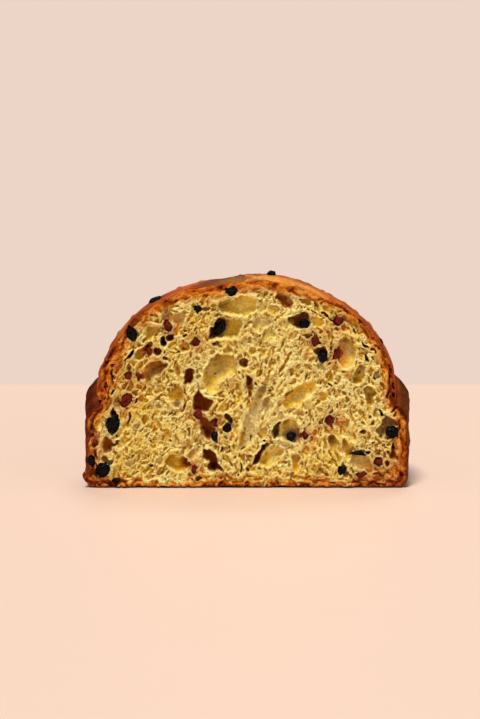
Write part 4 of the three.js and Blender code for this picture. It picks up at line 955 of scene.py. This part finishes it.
def foam(cell, stretch, seed):
    """Gas cells packed side by side, drawn out along the crumb's lean: how far inside its cell
    each point lies, and a number from 0 to 1 for the cell."""
    inward = np.zeros_like(face_x)
    number = np.zeros_like(face_x)
    for lean in LEANS:
        here = nearest_lean == lean
        c, s = math.cos(math.radians(lean)), math.sin(math.radians(lean))
        p = (warped_x[here] * c - warped_z[here] * s) / cell
        q = (warped_x[here] * s + warped_z[here] * c) / (cell * stretch)
        column, row = np.floor(p).astype(np.int64), np.floor(q).astype(np.int64)
        first, second, owner = np.full(p.shape, 9.0), np.full(p.shape, 9.0), np.zeros(p.shape)
        for dc in (-1, 0, 1):
            for dr in (-1, 0, 1):
                i, j = column + dc, row + dr
                middle_p = i + 0.5 + JITTER * lattice_value(i, j, 0, seed)
                middle_q = j + 0.5 + JITTER * lattice_value(i, j, 1, seed)
                away = (p - middle_p) ** 2 + (q - middle_q) ** 2
                second = np.where(away < first, first, np.minimum(second, away))
                owner = np.where(away < first, lattice_value(i, j, 2, seed), owner)
                first = np.minimum(first, away)
        inward[here] = np.sqrt(second) - np.sqrt(first)
        number[here] = owner * 0.5 + 0.5
    return inward, number


# Pores of three sizes. The walls of a hollow have only the smaller ones.
in_hollow = smooth(0.5, 3, depth)
coarse_in, coarse_number = foam(5.2, 1.5, 171)
middle_in, middle_number = foam(2.8, 1.8, 172)
fine_in, fine_number = foam(1.5, 1.5, 173)
openness = 0.75 + 0.5 * face_layers(15, 66)
coarse_pores = 2.8 * openness * smooth(0.5, 1, coarse_number) * smooth(0.06, 0.38, coarse_in)
middle_pores = openness * (0.25 + 2.4 * middle_number**2.5) * smooth(0.07, 0.34, middle_in)
fine_pores = (0.2 + 0.75 * fine_number) * smooth(0.12, 0.45, fine_in)
pores = coarse_pores * (1 - in_hollow) + middle_pores * (1 - 0.78 * in_hollow)
pores = pores + fine_pores * (1 - 0.45 * in_hollow) * (1 - 0.4 * smooth(0.5, 2, pores))
vein = bell(noise(warped_x, 2, warped_z, 5.5, 74), 0.13) * in_hollow
pores = pores - 0.35 * vein
rim = rim * (1 - smooth(0.2, 1.2, depth)) * smooth(-0.5, 0.4, face_noise(3, 67))
proud = proud * smooth(-0.8, 0.2, face_noise(4, 68)) * (1 - 0.6 * smooth(2, 5, depth))
pores = pores * (1 - 0.7 * rim) * (1 - 0.75 * proud) - 0.6 * rim - 1.1 * proud

torn = 0.6 * face_layers(9, 71, 3) + 0.25 * face_layers(1.5, 72, 5)
fold = layered_noise(warped_x, 8, warped_z, 13, 73, 2)
torn = torn + 1.5 * fold * (1 - in_hollow)

# The crust's leaves run along the outline.
around_loaf = 95 * np.arctan2(face_z - EYE_HEIGHT, face_x)
layers = noise(around_loaf, 0, from_edge * 3.4, 6.5, 76) + 0.5 * noise(around_loaf, 3, from_edge * 3, 2.6, 77)
in_crust = 1 - smooth(3, 9, from_edge)
unevenness = torn + pores * (1 - 0.5 * in_crust) - 1.3 * layers * in_crust
crumb_depth = depth + unevenness * smooth(0.2, 2.0, from_edge)

# ------------------------------------------------------------------ colour of the cut face

# How much deeper each point lies than what is close round it, and than what is further round it.
pore = crumb_depth - blurred(crumb_depth, 1.1)
wide_pore = crumb_depth - blurred(crumb_depth, 4.5)
patch = face_layers(26, 81)
speckle = face_noise(1.3, 82)


def washed(colour, other, share):
    return mixed(colour, other, share[..., None])


def washed_over(colour, *washes):
    """The colour after each (other colour, share) has been laid over it in turn."""
    for other, share in washes:
        colour = washed(colour, other, share)
    return colour


face_colour = washed_over(
    washed(CREAM, YELLOW, smooth(-0.6, 0.5, patch + 0.35 * speckle)),
    (rgb(224, 206, 136), 0.5 * smooth(0.15, 0.7, face_layers(18, 83, 4))),
    # Painted shade: gold in the low places of the folds.
    (SHADE_GOLD, 0.3 * smooth(0.1, 0.6, fold)),
    # Painted highlight: near-white on the crests that stand out of the pores.
    (CREST_HIGHLIGHT, 0.68 * smooth(0.05, 0.5, -pore) * (1 - 0.7 * rim)),
    # Painted shade: gold in the pores, deeper gold in the deep ones, and olive where the crumb lies below
    # what is round it.
    (SHADE_GOLD, 0.85 * smooth(0.0, 0.85, pore + 0.12 * pores)),
    (TINTS["gold"], 0.7 * smooth(0.9, 3.0, pores) * (0.4 + 0.6 * middle_number)),
    (TINTS["olive"], 0.45 * smooth(1.2, 3.6, wide_pore)),
    # Painted shade: darkest where the crumb lies deepest.
    (TINTS["dark"], 0.5 * smooth(5.5, 11, crumb_depth)),
    # Painted highlight: cream on the raised rims and strands.
    (CREAM, np.maximum(0.2 * rim, 0.5 * proud)),
)
# The hollows' colours show most where the crumb lies deeper than what is round it and least on rims and
# strands, in part painted shade.
share = tint_weight * smooth(-0.4, 0.5, wide_pore + 0.3 * pore + 0.25 * (placed_depth > 0.4))
share = np.maximum(share, 0.5 * tint_weight) * (1 - 0.5 * rim) * (1 - 0.6 * proud)
face_colour = washed(face_colour, tint, share)
mottled = 0.14 * face_noise(4.2, 84, 6) + 0.12 * face_noise(1.3, 85, 7)
face_colour = face_colour * (1 + in_hollow * mottled)[..., None]
face_colour = washed(face_colour, CREAM, 0.3 * vein * (1 - smooth(5, 8, crumb_depth)))

# How far in from the outline the oven browned the crumb, and where it reached further: x, z,
# radius and extra reach.
BROWNED = [
    (-97, 76, 22, 10), (-105, 25, 26, 5), (-98, 4, 16, 5), (96, 8, 20, 9), (5, 138, 36, 4),
    (98, 66, 18, 4), (45, 2, 16, 4.5), (104, 40, 16, 4), (-20, 0, 20, 3.5), (-88, 98, 18, 4),
    (-60, 124, 26, 3), (88, 92, 16, 1.5), (-22, 134, 16, 2.5),
]
browned_reach = 4.2 + 1.6 * face_layers(9, 91)
for x, z, radius, extra in BROWNED:
    browned_reach = browned_reach + extra * bell(np.hypot(face_x - x, face_z - z), radius)
browned_in = from_edge / browned_reach
leaf = face_noise(2.2, 92)
crust_share = 1 - smooth(0.1, 0.62, browned_in + 0.13 * leaf + 0.22 * layers)
orange_share = 1 - smooth(0.35, 1.35, browned_in + 0.1 * leaf + 0.25 * layers)
pale_crust = smooth(108, 128, face_z) * 0.75 + 0.35 * face_noise(6, 93)
crust_tone = washed(rgb(150, 54, 6), rgb(224, 116, 22), np.clip(pale_crust + 0.3 * leaf, 0, 1))
baked = 1 - smooth(0.5, 1.1, browned_in)
on_loaf = smooth(-1, 0, from_edge)
side_line = (1 - smooth(0.7, 2.2, from_edge + 0.5 * leaf)) * smooth(60, 50, face_z)
base_strip = smooth(5, 1.5, face_z + leaf) * on_loaf
base_line = (1 - smooth(0.7, 1.8, face_z + 0.5 * leaf)) * on_loaf
face_colour = washed_over(
    face_colour,
    (rgb(222, 126, 12), 0.95 * orange_share * (1 - 0.5 * tint_weight)),
    (crust_tone, 0.9 * crust_share),
    # Darker where the crust's leaves lie deeper, painted shade in the grooves, and lighter where they stand
    # out, painted light.
    (rgb(92, 26, 4), 0.75 * smooth(0.3, 0.7, -layers) * baked),
    (rgb(232, 150, 50), 0.6 * smooth(0.25, 0.7, layers) * baked),
    (rgb(70, 22, 6), 0.75 * side_line),
    (rgb(166, 72, 14), 0.3 * base_strip),
    (rgb(34, 14, 8), 0.85 * base_line),
)
face_colour = np.clip(face_colour * (1 + 0.1 * speckle[..., None]), 0, 1)

# ------------------------------------------------------------------ grid of the cut face

FACE_COLUMNS = 480
FACE_ROWS = 314
EDGE_INSET = 0.6  # the grid ends this far inside the outline
SIDE_TOP = math.radians(40)  # where the grid's side ends and its top begins, seen from the eye


def outline_stretch(start, end, count):
    """Evenly spaced points of the outline between two directions from the eye point."""
    ring = outline[:, [0, 2]]
    angle = np.unwrap(np.arctan2(ring[:, 1] - EYE_HEIGHT, ring[:, 0]))
    angle = angle - angle[0] - math.pi / 2
    turns = np.concatenate([angle - 2 * math.pi, angle, angle + 2 * math.pi])
    reach = np.tile(np.hypot(ring[:, 0], ring[:, 1] - EYE_HEIGHT), 3) - EDGE_INSET
    dense = np.linspace(start, end, 1500)
    radius = np.interp(dense, turns, reach)
    points = np.stack([radius * np.cos(dense), EYE_HEIGHT + radius * np.sin(dense)], -1)
    lengths = np.concatenate([[0], np.cumsum(np.linalg.norm(np.diff(points, axis=0), axis=1))])
    even = np.linspace(0, lengths[-1], count)
    return np.stack([np.interp(even, lengths, points[:, axis]) for axis in (0, 1)], -1)


corner_angle = math.atan2(EYE_HEIGHT, math.sqrt(BASE_RADIUS**2 - AXIS_Y**2) + 1)
bottom = outline_stretch(-math.pi + corner_angle, -corner_angle, FACE_COLUMNS)
top = outline_stretch(math.pi - SIDE_TOP, SIDE_TOP, FACE_COLUMNS)
left = outline_stretch(-math.pi + corner_angle, -math.pi - SIDE_TOP, FACE_ROWS)
right = outline_stretch(-corner_angle, SIDE_TOP, FACE_ROWS)
u = np.linspace(0, 1, FACE_COLUMNS)[None, :, None]
v = np.linspace(0, 1, FACE_ROWS)[:, None, None]
face = (1 - v) * bottom[None] + v * top[None] + (1 - u) * left[:, None] + u * right[:, None]
face = face - (1 - u) * (1 - v) * bottom[0] - u * (1 - v) * bottom[-1]
face = face - (1 - u) * v * top[0] - u * v * top[-1]

grid_x, grid_z = face[..., 0], face[..., 1]
grid_depth = sampled(crumb_depth, grid_x, grid_z)
near_edge = sampled(from_edge, grid_x, grid_z) < 1.0
grid_depth = np.where(near_edge, np.clip(grid_depth, -0.2, 0.8), grid_depth)
face_points = np.stack([grid_x, grid_depth, grid_z], -1)
face_colours = sampled(face_colour, grid_x, grid_z)

# ------------------------------------------------------------------ colour of the outside


def outside_colours():
    x, y, z = outside[..., 0], outside[..., 1], outside[..., 2]
    azimuth = loaf_azimuth(x, y)
    around = azimuth * WALL_RADIUS
    wall_top, rim_top = shoulder_heights(azimuth)
    mottle = layered_noise(x, y, z, 17, 101, 4)
    blotch = layered_noise(x, y, z, 6, 111)
    spots = noise(x, y, z, 3.4, 113)
    near_cut = 1 - smooth(6, 26, y)
    dome = washed_over(
        washed(rgb(160, 58, 6), rgb(230, 118, 22), smooth(-0.5, 0.6, mottle + 0.4 * blotch)),
        (rgb(104, 32, 8), 0.65 * smooth(0.1, 0.7, -mottle + 0.5 * blotch)),
        (rgb(112, 38, 8), 0.5 * smooth(0.3, 0.75, spots)),
        (rgb(244, 158, 60), 0.4 * smooth(0.3, 0.75, -spots) * smooth(-0.2, 0.5, mottle)),
        (rgb(128, 38, 6), 0.7 * near_cut * smooth(-15, -70, x) * smooth(-0.8, 0.3, blotch)),
        (rgb(150, 54, 8), 0.5 * near_cut * smooth(45, 80, x) * smooth(-0.7, 0.4, blotch)),
        # Painted highlight: bright orange over the top of the dome beside the cut.
        (rgb(255, 168, 62), 0.8 * near_cut * smooth(-32, -10, x) * smooth(70, 30, x)),
        (rgb(110, 30, 8), 0.5 * near_cut * smooth(0.25, 0.7, noise(x, y, z, 8, 112))),
        # Darker in the dents and creases of the relief, painted shade, and lighter on its highest blisters,
        # painted light.
        (rgb(80, 26, 6), 0.7 * smooth(0.3, 1.2, -relief)),
        (rgb(236, 146, 48), 0.5 * smooth(0.5, 1.1, relief) * smooth(0, 0.6, blotch)),
    )
    streak = noise(around, 0, z / 9, 2.6, 121) + 0.5 * noise(around, 0, z / 5, 1.3, 122)
    streak = 0.6 * streak + 0.35 * pleat_wave(around, z)
    beside_cut = 1 - smooth(8, 26, y)
    wall = washed_over(
        washed(rgb(44, 13, 4), rgb(138, 62, 18), smooth(-0.7, 1.1, streak + 0.7 * mottle + 0.3 * blotch)),
        # Painted shade: the wall darkens towards the cut, where the notch lies in shade.
        (rgb(40, 11, 3), 0.5 * (1 - smooth(4, 30, y))),
        (rgb(186, 104, 36), 0.6 * smooth(0.35, 0.9, blotch) * smooth(-0.2, 0.8, streak)),
        (rgb(196, 108, 38), 0.35 * smooth(80, 100, x) * beside_cut),
        (rgb(160, 52, 12), 0.35 * smooth(-80, -100, x) * beside_cut),
        (rgb(150, 76, 24), 0.5 * (1 - smooth(3, 12, z))),
        (rgb(44, 11, 3), 0.6 * smooth(wall_top - 12, rim_top, z)),
    )
    # The base is darker with random blotches and in its pits, and in the pits this is painted shade.
    base = washed(rgb(124, 62, 16), rgb(44, 16, 5), smooth(-0.4, 0.5, blotch - relief))
    return washed_over(wall, (dome, smooth(-4, 4, z - rim_top)), (base, 1 - smooth(0.3, 3, z)))


outside_colour = outside_colours()

# ------------------------------------------------------------------ the bread's mesh


def stitched(first, second):
    """Triangles between two closed rings of vertices, given as (numbers, angles)."""
    a, angle_a = first
    b, angle_b = second
    faces = []
    i = j = 0
    while i < len(a) or j < len(b):
        next_a = angle_a[i + 1] if i + 1 < len(a) else angle_a[0] + 2 * math.pi
        next_b = angle_b[j + 1] if j + 1 < len(b) else angle_b[0] + 2 * math.pi
        if j >= len(b) or (i < len(a) and next_a <= next_b):
            faces.append((a[i % len(a)], a[(i + 1) % len(a)], b[j % len(b)]))
            i += 1
        else:
            faces.append((a[i % len(a)], b[(j + 1) % len(b)], b[j % len(b)]))
            j += 1
    return faces


def ring_angles(points):
    """Direction of each point of a ring from the eye point, never turning back."""
    angle = np.unwrap(np.arctan2(points[:, 2] - EYE_HEIGHT, points[:, 0]))
    return np.maximum.accumulate(angle)


FRONT, WALL, DOME, BASE = range(4)  # the mesh's regions


def bread_mesh():
    """Vertices, their colours, the faces and the region of each, and the outside's vertex numbers."""
    rows, columns = outside.shape[:2]
    face_count = FACE_ROWS * FACE_COLUMNS
    base_vertex = face_count + rows * columns
    top_vertex = base_vertex + 1
    points = np.vstack([face_points.reshape(-1, 3), outside.reshape(-1, 3), base_pole, top_pole])
    poles = outside_colour[[0, -1], 0]
    colours = np.vstack([face_colours.reshape(-1, 3), outside_colour.reshape(-1, 3), poles])

    front_numbers = np.arange(face_count).reshape(FACE_ROWS, FACE_COLUMNS)
    outer_numbers = face_count + np.arange(rows * columns).reshape(rows, columns)
    faces, regions = [], []

    def quads(numbers, region_of_row):
        ring = [numbers[:-1, :-1], numbers[:-1, 1:], numbers[1:, 1:], numbers[1:, :-1]]
        faces.extend(np.stack(ring, -1).reshape(-1, 4).tolist())
        for row in range(len(numbers) - 1):
            regions.extend([region_of_row(row)] * (numbers.shape[1] - 1))

    def outside_region(row):
        if row < BASE_ROWS - 1:
            return BASE
        return WALL if row < FIRST_DOME_ROW else DOME

    quads(front_numbers, lambda row: FRONT)
    quads(outer_numbers, outside_region)
    for column in range(columns - 1):
        faces.append([base_vertex, int(outer_numbers[0, column + 1]), int(outer_numbers[0, column])])
        regions.append(BASE)
        faces.append([top_vertex, int(outer_numbers[-1, column]), int(outer_numbers[-1, column + 1])])
        regions.append(DOME)

    half = FACE_COLUMNS // 2
    outer_ring = np.concatenate([[base_vertex], outer_numbers[:, 0], [top_vertex], outer_numbers[::-1, -1]])
    front_ring = np.concatenate([
        front_numbers[0, half:], front_numbers[1:, -1], front_numbers[-1, -2::-1],
        front_numbers[-2::-1, 0], front_numbers[0, 1:half],
    ])
    edge = stitched(*((ring, ring_angles(points[ring])) for ring in (outer_ring, front_ring)))
    faces.extend([[int(number) for number in triangle] for triangle in edge])
    regions.extend([FRONT] * len(edge))
    return points, colours, faces, np.array(regions), outer_numbers


def add_to_scene(name, data):
    made = bpy.data.objects.new(name, data)
    bpy.context.scene.collection.objects.link(made)
    return made


points, colours, faces, regions, outer_numbers = bread_mesh()
world_points = (points + np.array([0, CUT_Y, 0])) / 1000
mesh = bpy.data.meshes.new("bread")
mesh.from_pydata(world_points.tolist(), [], faces)
mesh.validate()
bread = add_to_scene("bread", mesh)

colour_layer = mesh.color_attributes.new("bread_colour", "FLOAT_COLOR", "POINT")
rgba = np.hstack([colours, np.ones((len(colours), 1))]).astype(np.float32)
colour_layer.data.foreach_set("color", rgba.ravel())


# Places of the regions on the bake map, which is 1 wide and 1 high, and scales per millimetre.
FRONT_SCALE = 0.0039
FRONT_CORNER = (0.012, 0.437)
BASE_SCALE = 0.00117
BASE_CORNER = (0.47, 0.19)
WALL_CORNER = 0.005
WALL_SPAN = (0.72, 0.17)
DOME_MIDDLE = (0.222, 0.19)
DOME_SPAN = 0.214


def bake_map():
    """One patch of the map for each region, at a scale that suits how closely it is seen."""
    placed = np.zeros((4, len(points), 2))
    x, y, z = points.T
    placed[FRONT] = FRONT_CORNER + np.stack([x + 108, z + 0.5], -1) * FRONT_SCALE
    placed[BASE] = BASE_CORNER + np.stack([x + 108, y + 1], -1) * BASE_SCALE
    rows, columns = outside.shape[:2]
    row, column = np.meshgrid(np.arange(rows), np.arange(columns), indexing="ij")
    turn = math.pi * column / (columns - 1)
    wall_row = np.clip(row - BASE_ROWS, 0, None) / (FIRST_DOME_ROW - BASE_ROWS)
    wall_uv = WALL_CORNER + np.stack([turn / math.pi, wall_row], -1) * WALL_SPAN
    out = DOME_SPAN * (rows - row) / (rows - FIRST_DOME_ROW)
    dome_uv = DOME_MIDDLE + np.stack([out * np.cos(turn), out * np.sin(turn)], -1)
    placed[WALL][outer_numbers.ravel()] = wall_uv.reshape(-1, 2)
    placed[DOME][outer_numbers.ravel()] = dome_uv.reshape(-1, 2)
    placed[DOME][-1] = DOME_MIDDLE
    return placed


uv_layer = mesh.uv_layers.new(name="OFBake")
placed = bake_map()
loop_vertex = np.zeros(len(mesh.loops), np.int32)
mesh.loops.foreach_get("vertex_index", loop_vertex)
loop_total = np.zeros(len(mesh.polygons), np.int32)
mesh.polygons.foreach_get("loop_total", loop_total)
loop_region = np.repeat(regions, loop_total)
uv_layer.data.foreach_set("uv", placed[loop_region, loop_vertex].astype(np.float32).ravel())
material_of_region = np.array([0, 2, 1, 2], np.int32)  # crumb 0, crust 1, side crust 2
mesh.polygons.foreach_set("material_index", material_of_region[regions])
mesh.polygons.foreach_set("use_smooth", np.ones(len(regions), bool))

# ------------------------------------------------------------------ materials


def new_material(name):
    material = bpy.data.materials.new(name)
    material.use_nodes = True
    return material, material.node_tree, material.node_tree.nodes["Principled BSDF"]


def set_inputs(made, values):
    for key, value in values.items():
        made.inputs[key].default_value = value


def textured(tree, kind, values):
    """The strength of a texture that is laid out along the object's own axes."""
    made = tree.nodes.new("ShaderNodeTex" + kind)
    set_inputs(made, values)
    place = tree.nodes.new("ShaderNodeTexCoord")
    tree.links.new(place.outputs["Object"], made.inputs["Vector"])
    return made.outputs["Distance" if kind == "Voronoi" else "Fac"]


def ranged(tree, value, from_low, from_high, to_low, to_high):
    """The value, with the first span of numbers spread over the second."""
    made = tree.nodes.new("ShaderNodeMapRange")
    set_inputs(made, {"From Min": from_low, "From Max": from_high, "To Min": to_low, "To Max": to_high})
    tree.links.new(value, made.inputs["Value"])
    return made.outputs["Result"]


def bumped(tree, height, strength, distance, below=None):
    """The surface's direction after a relief was added to the one below."""
    made = tree.nodes.new("ShaderNodeBump")
    set_inputs(made, {"Strength": strength, "Distance": distance})
    tree.links.new(height, made.inputs["Height"])
    if below is not None:
        tree.links.new(below, made.inputs["Normal"])
    return made.outputs["Normal"]


def bread_tone(tree, grain, darkest, brightest):
    """The bread's colour, darker and brighter with the grain: a tone that varies at random and, as the same
    grain raises the bump, painted shade in its low places and painted light on its high places.
    """
    colour = tree.nodes.new("ShaderNodeVertexColor")
    colour.layer_name = "bread_colour"
    toned = tree.nodes.new("ShaderNodeVectorMath")
    toned.operation = "SCALE"
    tree.links.new(colour.outputs["Color"], toned.inputs[0])
    tree.links.new(ranged(tree, grain, 0.3, 0.7, darkest, brightest), toned.inputs["Scale"])
    return toned.outputs["Vector"]


def crumb_material():
    material, tree, shader = new_material("crumb")
    grain = textured(tree, "Noise", {"Scale": 900.0, "Detail": 4.0, "Roughness": 0.65})
    cells = textured(tree, "Voronoi", {"Scale": 850.0})
    relief_of_cells = bumped(tree, cells, 0.5, 0.0006)
    tree.links.new(bread_tone(tree, grain, 0.82, 1.16), shader.inputs["Base Color"])
    tree.links.new(ranged(tree, grain, 0, 1, 0.42, 0.75), shader.inputs["Roughness"])
    tree.links.new(bumped(tree, grain, 0.45, 0.0005, relief_of_cells), shader.inputs["Normal"])
    shader.inputs["Specular IOR Level"].default_value = 0.08
    shader.inputs["Subsurface Weight"].default_value = 0.18
    shader.inputs["Subsurface Radius"].default_value = (1.0, 0.6, 0.2)
    shader.inputs["Subsurface Scale"].default_value = 0.0016
    return material


def crust_material(name, gloss, smoothest, roughest):
    material, tree, shader = new_material(name)
    grain = textured(tree, "Noise", {"Scale": 520.0, "Detail": 6.0, "Roughness": 0.6})
    pits = textured(tree, "Voronoi", {"Scale": 420.0})
    wrinkles = textured(tree, "Noise", {"Scale": 240.0, "Detail": 3.0, "Roughness": 0.55})
    wrinkled = bumped(tree, wrinkles, 0.7, 0.0014)
    pitted = bumped(tree, pits, 0.25, 0.0005, wrinkled)
    tree.links.new(bread_tone(tree, grain, 0.7, 1.3), shader.inputs["Base Color"])
    tree.links.new(ranged(tree, grain, 0.3, 0.7, smoothest, roughest), shader.inputs["Roughness"])
    tree.links.new(bumped(tree, grain, 0.55, 0.0005, pitted), shader.inputs["Normal"])
    shader.inputs["Specular IOR Level"].default_value = gloss
    return material


def fruit_material(name, dark, light, roughness, glow):
    material, tree, shader = new_material(name)
    grain = textured(tree, "Noise", {"Scale": 420.0, "Detail": 5.0, "Roughness": 0.6})
    ramp = tree.nodes.new("ShaderNodeValToRGB")
    for stop, place, colour in zip(ramp.color_ramp.elements, (0.32, 0.72), (dark, light)):
        stop.position = place
        stop.color = (*colour, 1)
    tree.links.new(grain, ramp.inputs["Fac"])
    tree.links.new(ramp.outputs["Color"], shader.inputs["Base Color"])
    rough = ranged(tree, grain, 0, 1, roughness - 0.2, roughness + 0.2)
    tree.links.new(rough, shader.inputs["Roughness"])
    tree.links.new(bumped(tree, grain, 0.6, 0.0005), shader.inputs["Normal"])
    shader.inputs["Specular IOR Level"].default_value = 0.1
    shader.inputs["Subsurface Weight"].default_value = glow
    shader.inputs["Subsurface Radius"].default_value = (1.0, 0.25, 0.15)
    shader.inputs["Subsurface Scale"].default_value = 0.002
    return material


mesh.materials.append(crumb_material())
mesh.materials.append(crust_material("crust", 0.2, 0.28, 0.52))
mesh.materials.append(crust_material("side_crust", 0.07, 0.5, 0.75))
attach(bread, "root")
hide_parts("half_loaf")

# ------------------------------------------------------------------ dried fruits

dark_fruit = fruit_material("dark_fruit", rgb(3, 2, 3), rgb(17, 13, 15), 0.36, 0.0)
red_fruit = fruit_material("red_fruit", rgb(72, 12, 5), rgb(146, 46, 20), 0.36, 0.2)


FRUIT_FULLNESS = 1.02  # of the fruit's oval
LONG_FRUIT = 4  # half length from which a slim fruit that lies flat is bent


def fruit_piece(node_name, number):
    """A dried fruit: an oval with folds drawn in along it and a puckered skin."""
    middle, wide, long, lean, thick = ovals[node_name]
    form = bmesh.new()
    bmesh.ops.create_icosphere(form, subdivisions=5 if long > 3.8 else 4, radius=1)
    fruit_mesh = bpy.data.meshes.new(node_name + "_fruit")
    form.to_mesh(fruit_mesh)
    form.free()
    unit = np.array([vertex.co for vertex in fruit_mesh.vertices])
    x, y, z = unit.T
    seed = 300 + 7 * number
    folds = noise(x, y, z * 0.55, 0.7, seed) + 0.45 * noise(x, y, z, 0.3, seed + 1)
    crease = bell(folds, 0.22)
    pleat = bell(noise(x, y, z, 0.34, seed + 4), 0.2)
    swell = noise(x, y, z, 1.1, seed + 2) + 0.5 * noise(x, y, z, 0.6, seed + 5)
    radius = 1.06 + 0.2 * swell - 0.26 * crease - 0.09 * pleat + 0.04 * noise(x, y, z, 0.14, seed + 3)
    shape = unit * radius[:, None] * np.array([wide, thick, long]) * FRUIT_FULLNESS
    turn = math.radians(lean)
    px = shape[:, 0] * math.cos(turn) + shape[:, 2] * math.sin(turn)
    pz = -shape[:, 0] * math.sin(turn) + shape[:, 2] * math.cos(turn)
    if long > 1.5 * wide and long > LONG_FRUIT and abs(lean) > 80:
        pz = pz - 0.035 * px**2
    sunk = 0 if is_in_crust(node_name) else (0.6 if is_red(node_name) else 0.25) * wide
    placed_points = np.stack([px, shape[:, 1] + sunk, pz], -1) + middle + np.array([0, CUT_Y, 0])
    placed_points[:, 2] = np.maximum(placed_points[:, 2], 0.3)
    fruit_mesh.vertices.foreach_set("co", (placed_points / 1000).astype(np.float32).ravel())
    fruit_mesh.polygons.foreach_set("use_smooth", np.ones(len(fruit_mesh.polygons), bool))
    fruit_mesh.update()
    piece = add_to_scene(node_name + "_fruit", fruit_mesh)
    fruit_mesh.materials.append(red_fruit if is_red(node_name) else dark_fruit)
    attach(piece, "root")
    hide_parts(node_name)


for number, node_name in enumerate(fruit_nodes):
    fruit_piece(node_name, number)

# ------------------------------------------------------------------ table, light and camera

# Metres from here on.
TABLE_BACK = 0.409 + CUT_Y / 1000
TABLE_REACH = 4.0  # to either side, and to the front


def table():
    back, reach = TABLE_BACK, TABLE_REACH
    table_mesh = bpy.data.meshes.new("table")
    corners = [(-reach, -reach, 0), (reach, -reach, 0), (reach, back, 0), (-reach, back, 0)]
    table_mesh.from_pydata(corners, [], [(0, 1, 2, 3)])
    top = add_to_scene("table", table_mesh)
    material, tree, shader = new_material("table")
    shader.inputs["Base Color"].default_value = (*rgb(245, 214, 194), 1)
    shader.inputs["Roughness"].default_value = 0.42
    shader.inputs["Specular IOR Level"].default_value = 0.12
    table_mesh.materials.append(material)


def aim(made, place, target):
    made.location = place
    made.rotation_euler = (Vector(target) - Vector(place)).to_track_quat("-Z", "Y").to_euler()


def aimed_light(kind, name, place, target, strength, colour):
    data = bpy.data.lights.new(name, kind)
    data.energy = strength
    data.color = colour
    aim(add_to_scene(name, data), place, target)
    return data


def area_light(name, place, size, power, colour):
    """A round light above the table, aimed at the loaf."""
    data = aimed_light("AREA", name, place, (0, 0, 0.05), power, colour)
    data.shape = "DISK"
    data.size = size


def sun(name, place, width, strength, colour):
    """A far light from the direction of a place, as wide in degrees as given."""
    data = aimed_light("SUN", name, place, (0, 0, 0), strength, colour)
    data.angle = math.radians(width)


def room():
    """A pale wall behind the table, which gives less light than it shows."""
    world = bpy.data.worlds.new("room")
    bpy.context.scene.world = world
    world.use_nodes = True
    nodes, links = world.node_tree.nodes, world.node_tree.links
    seen = nodes["Background"]
    set_inputs(seen, {"Color": (*rgb(236, 213, 199), 1)})
    lit = nodes.new("ShaderNodeBackground")
    set_inputs(lit, {"Color": (1.0, 0.97, 0.95, 1), "Strength": 0.16})
    rays = nodes.new("ShaderNodeLightPath")
    choose = nodes.new("ShaderNodeMixShader")
    links.new(rays.outputs["Is Camera Ray"], choose.inputs["Fac"])
    links.new(lit.outputs["Background"], choose.inputs[1])
    links.new(seen.outputs["Background"], choose.inputs[2])
    links.new(choose.outputs["Shader"], nodes["World Output"].inputs["Surface"])


ELEVATION = math.radians(9)
DISTANCE = 1.5


def camera():
    data = bpy.data.cameras.new("camera")
    data.sensor_fit = "HORIZONTAL"
    data.sensor_width = 36
    data.lens = 171
    data.clip_start = 0.05
    data.clip_end = 50
    target = Vector((-0.0049, CUT_Y / 1000, 0.0863))
    eye = target + DISTANCE * Vector((0, -math.cos(ELEVATION), math.sin(ELEVATION)))
    made = add_to_scene("camera", data)
    aim(made, eye, target)
    bpy.context.scene.camera = made


table()
room()
sun("key", (-0.75, -2.1, 5.6), 16, 2.66, (1.0, 0.985, 0.96))
area_light("fill", (2.2, -2.2, 1.2), 1.6, 7, (1.0, 0.97, 0.95))
area_light("top", (0.4, 1.6, 3.6), 1.8, 34, (1.0, 0.98, 0.96))
camera()
bpy.context.scene.view_settings.view_transform = "Standard"
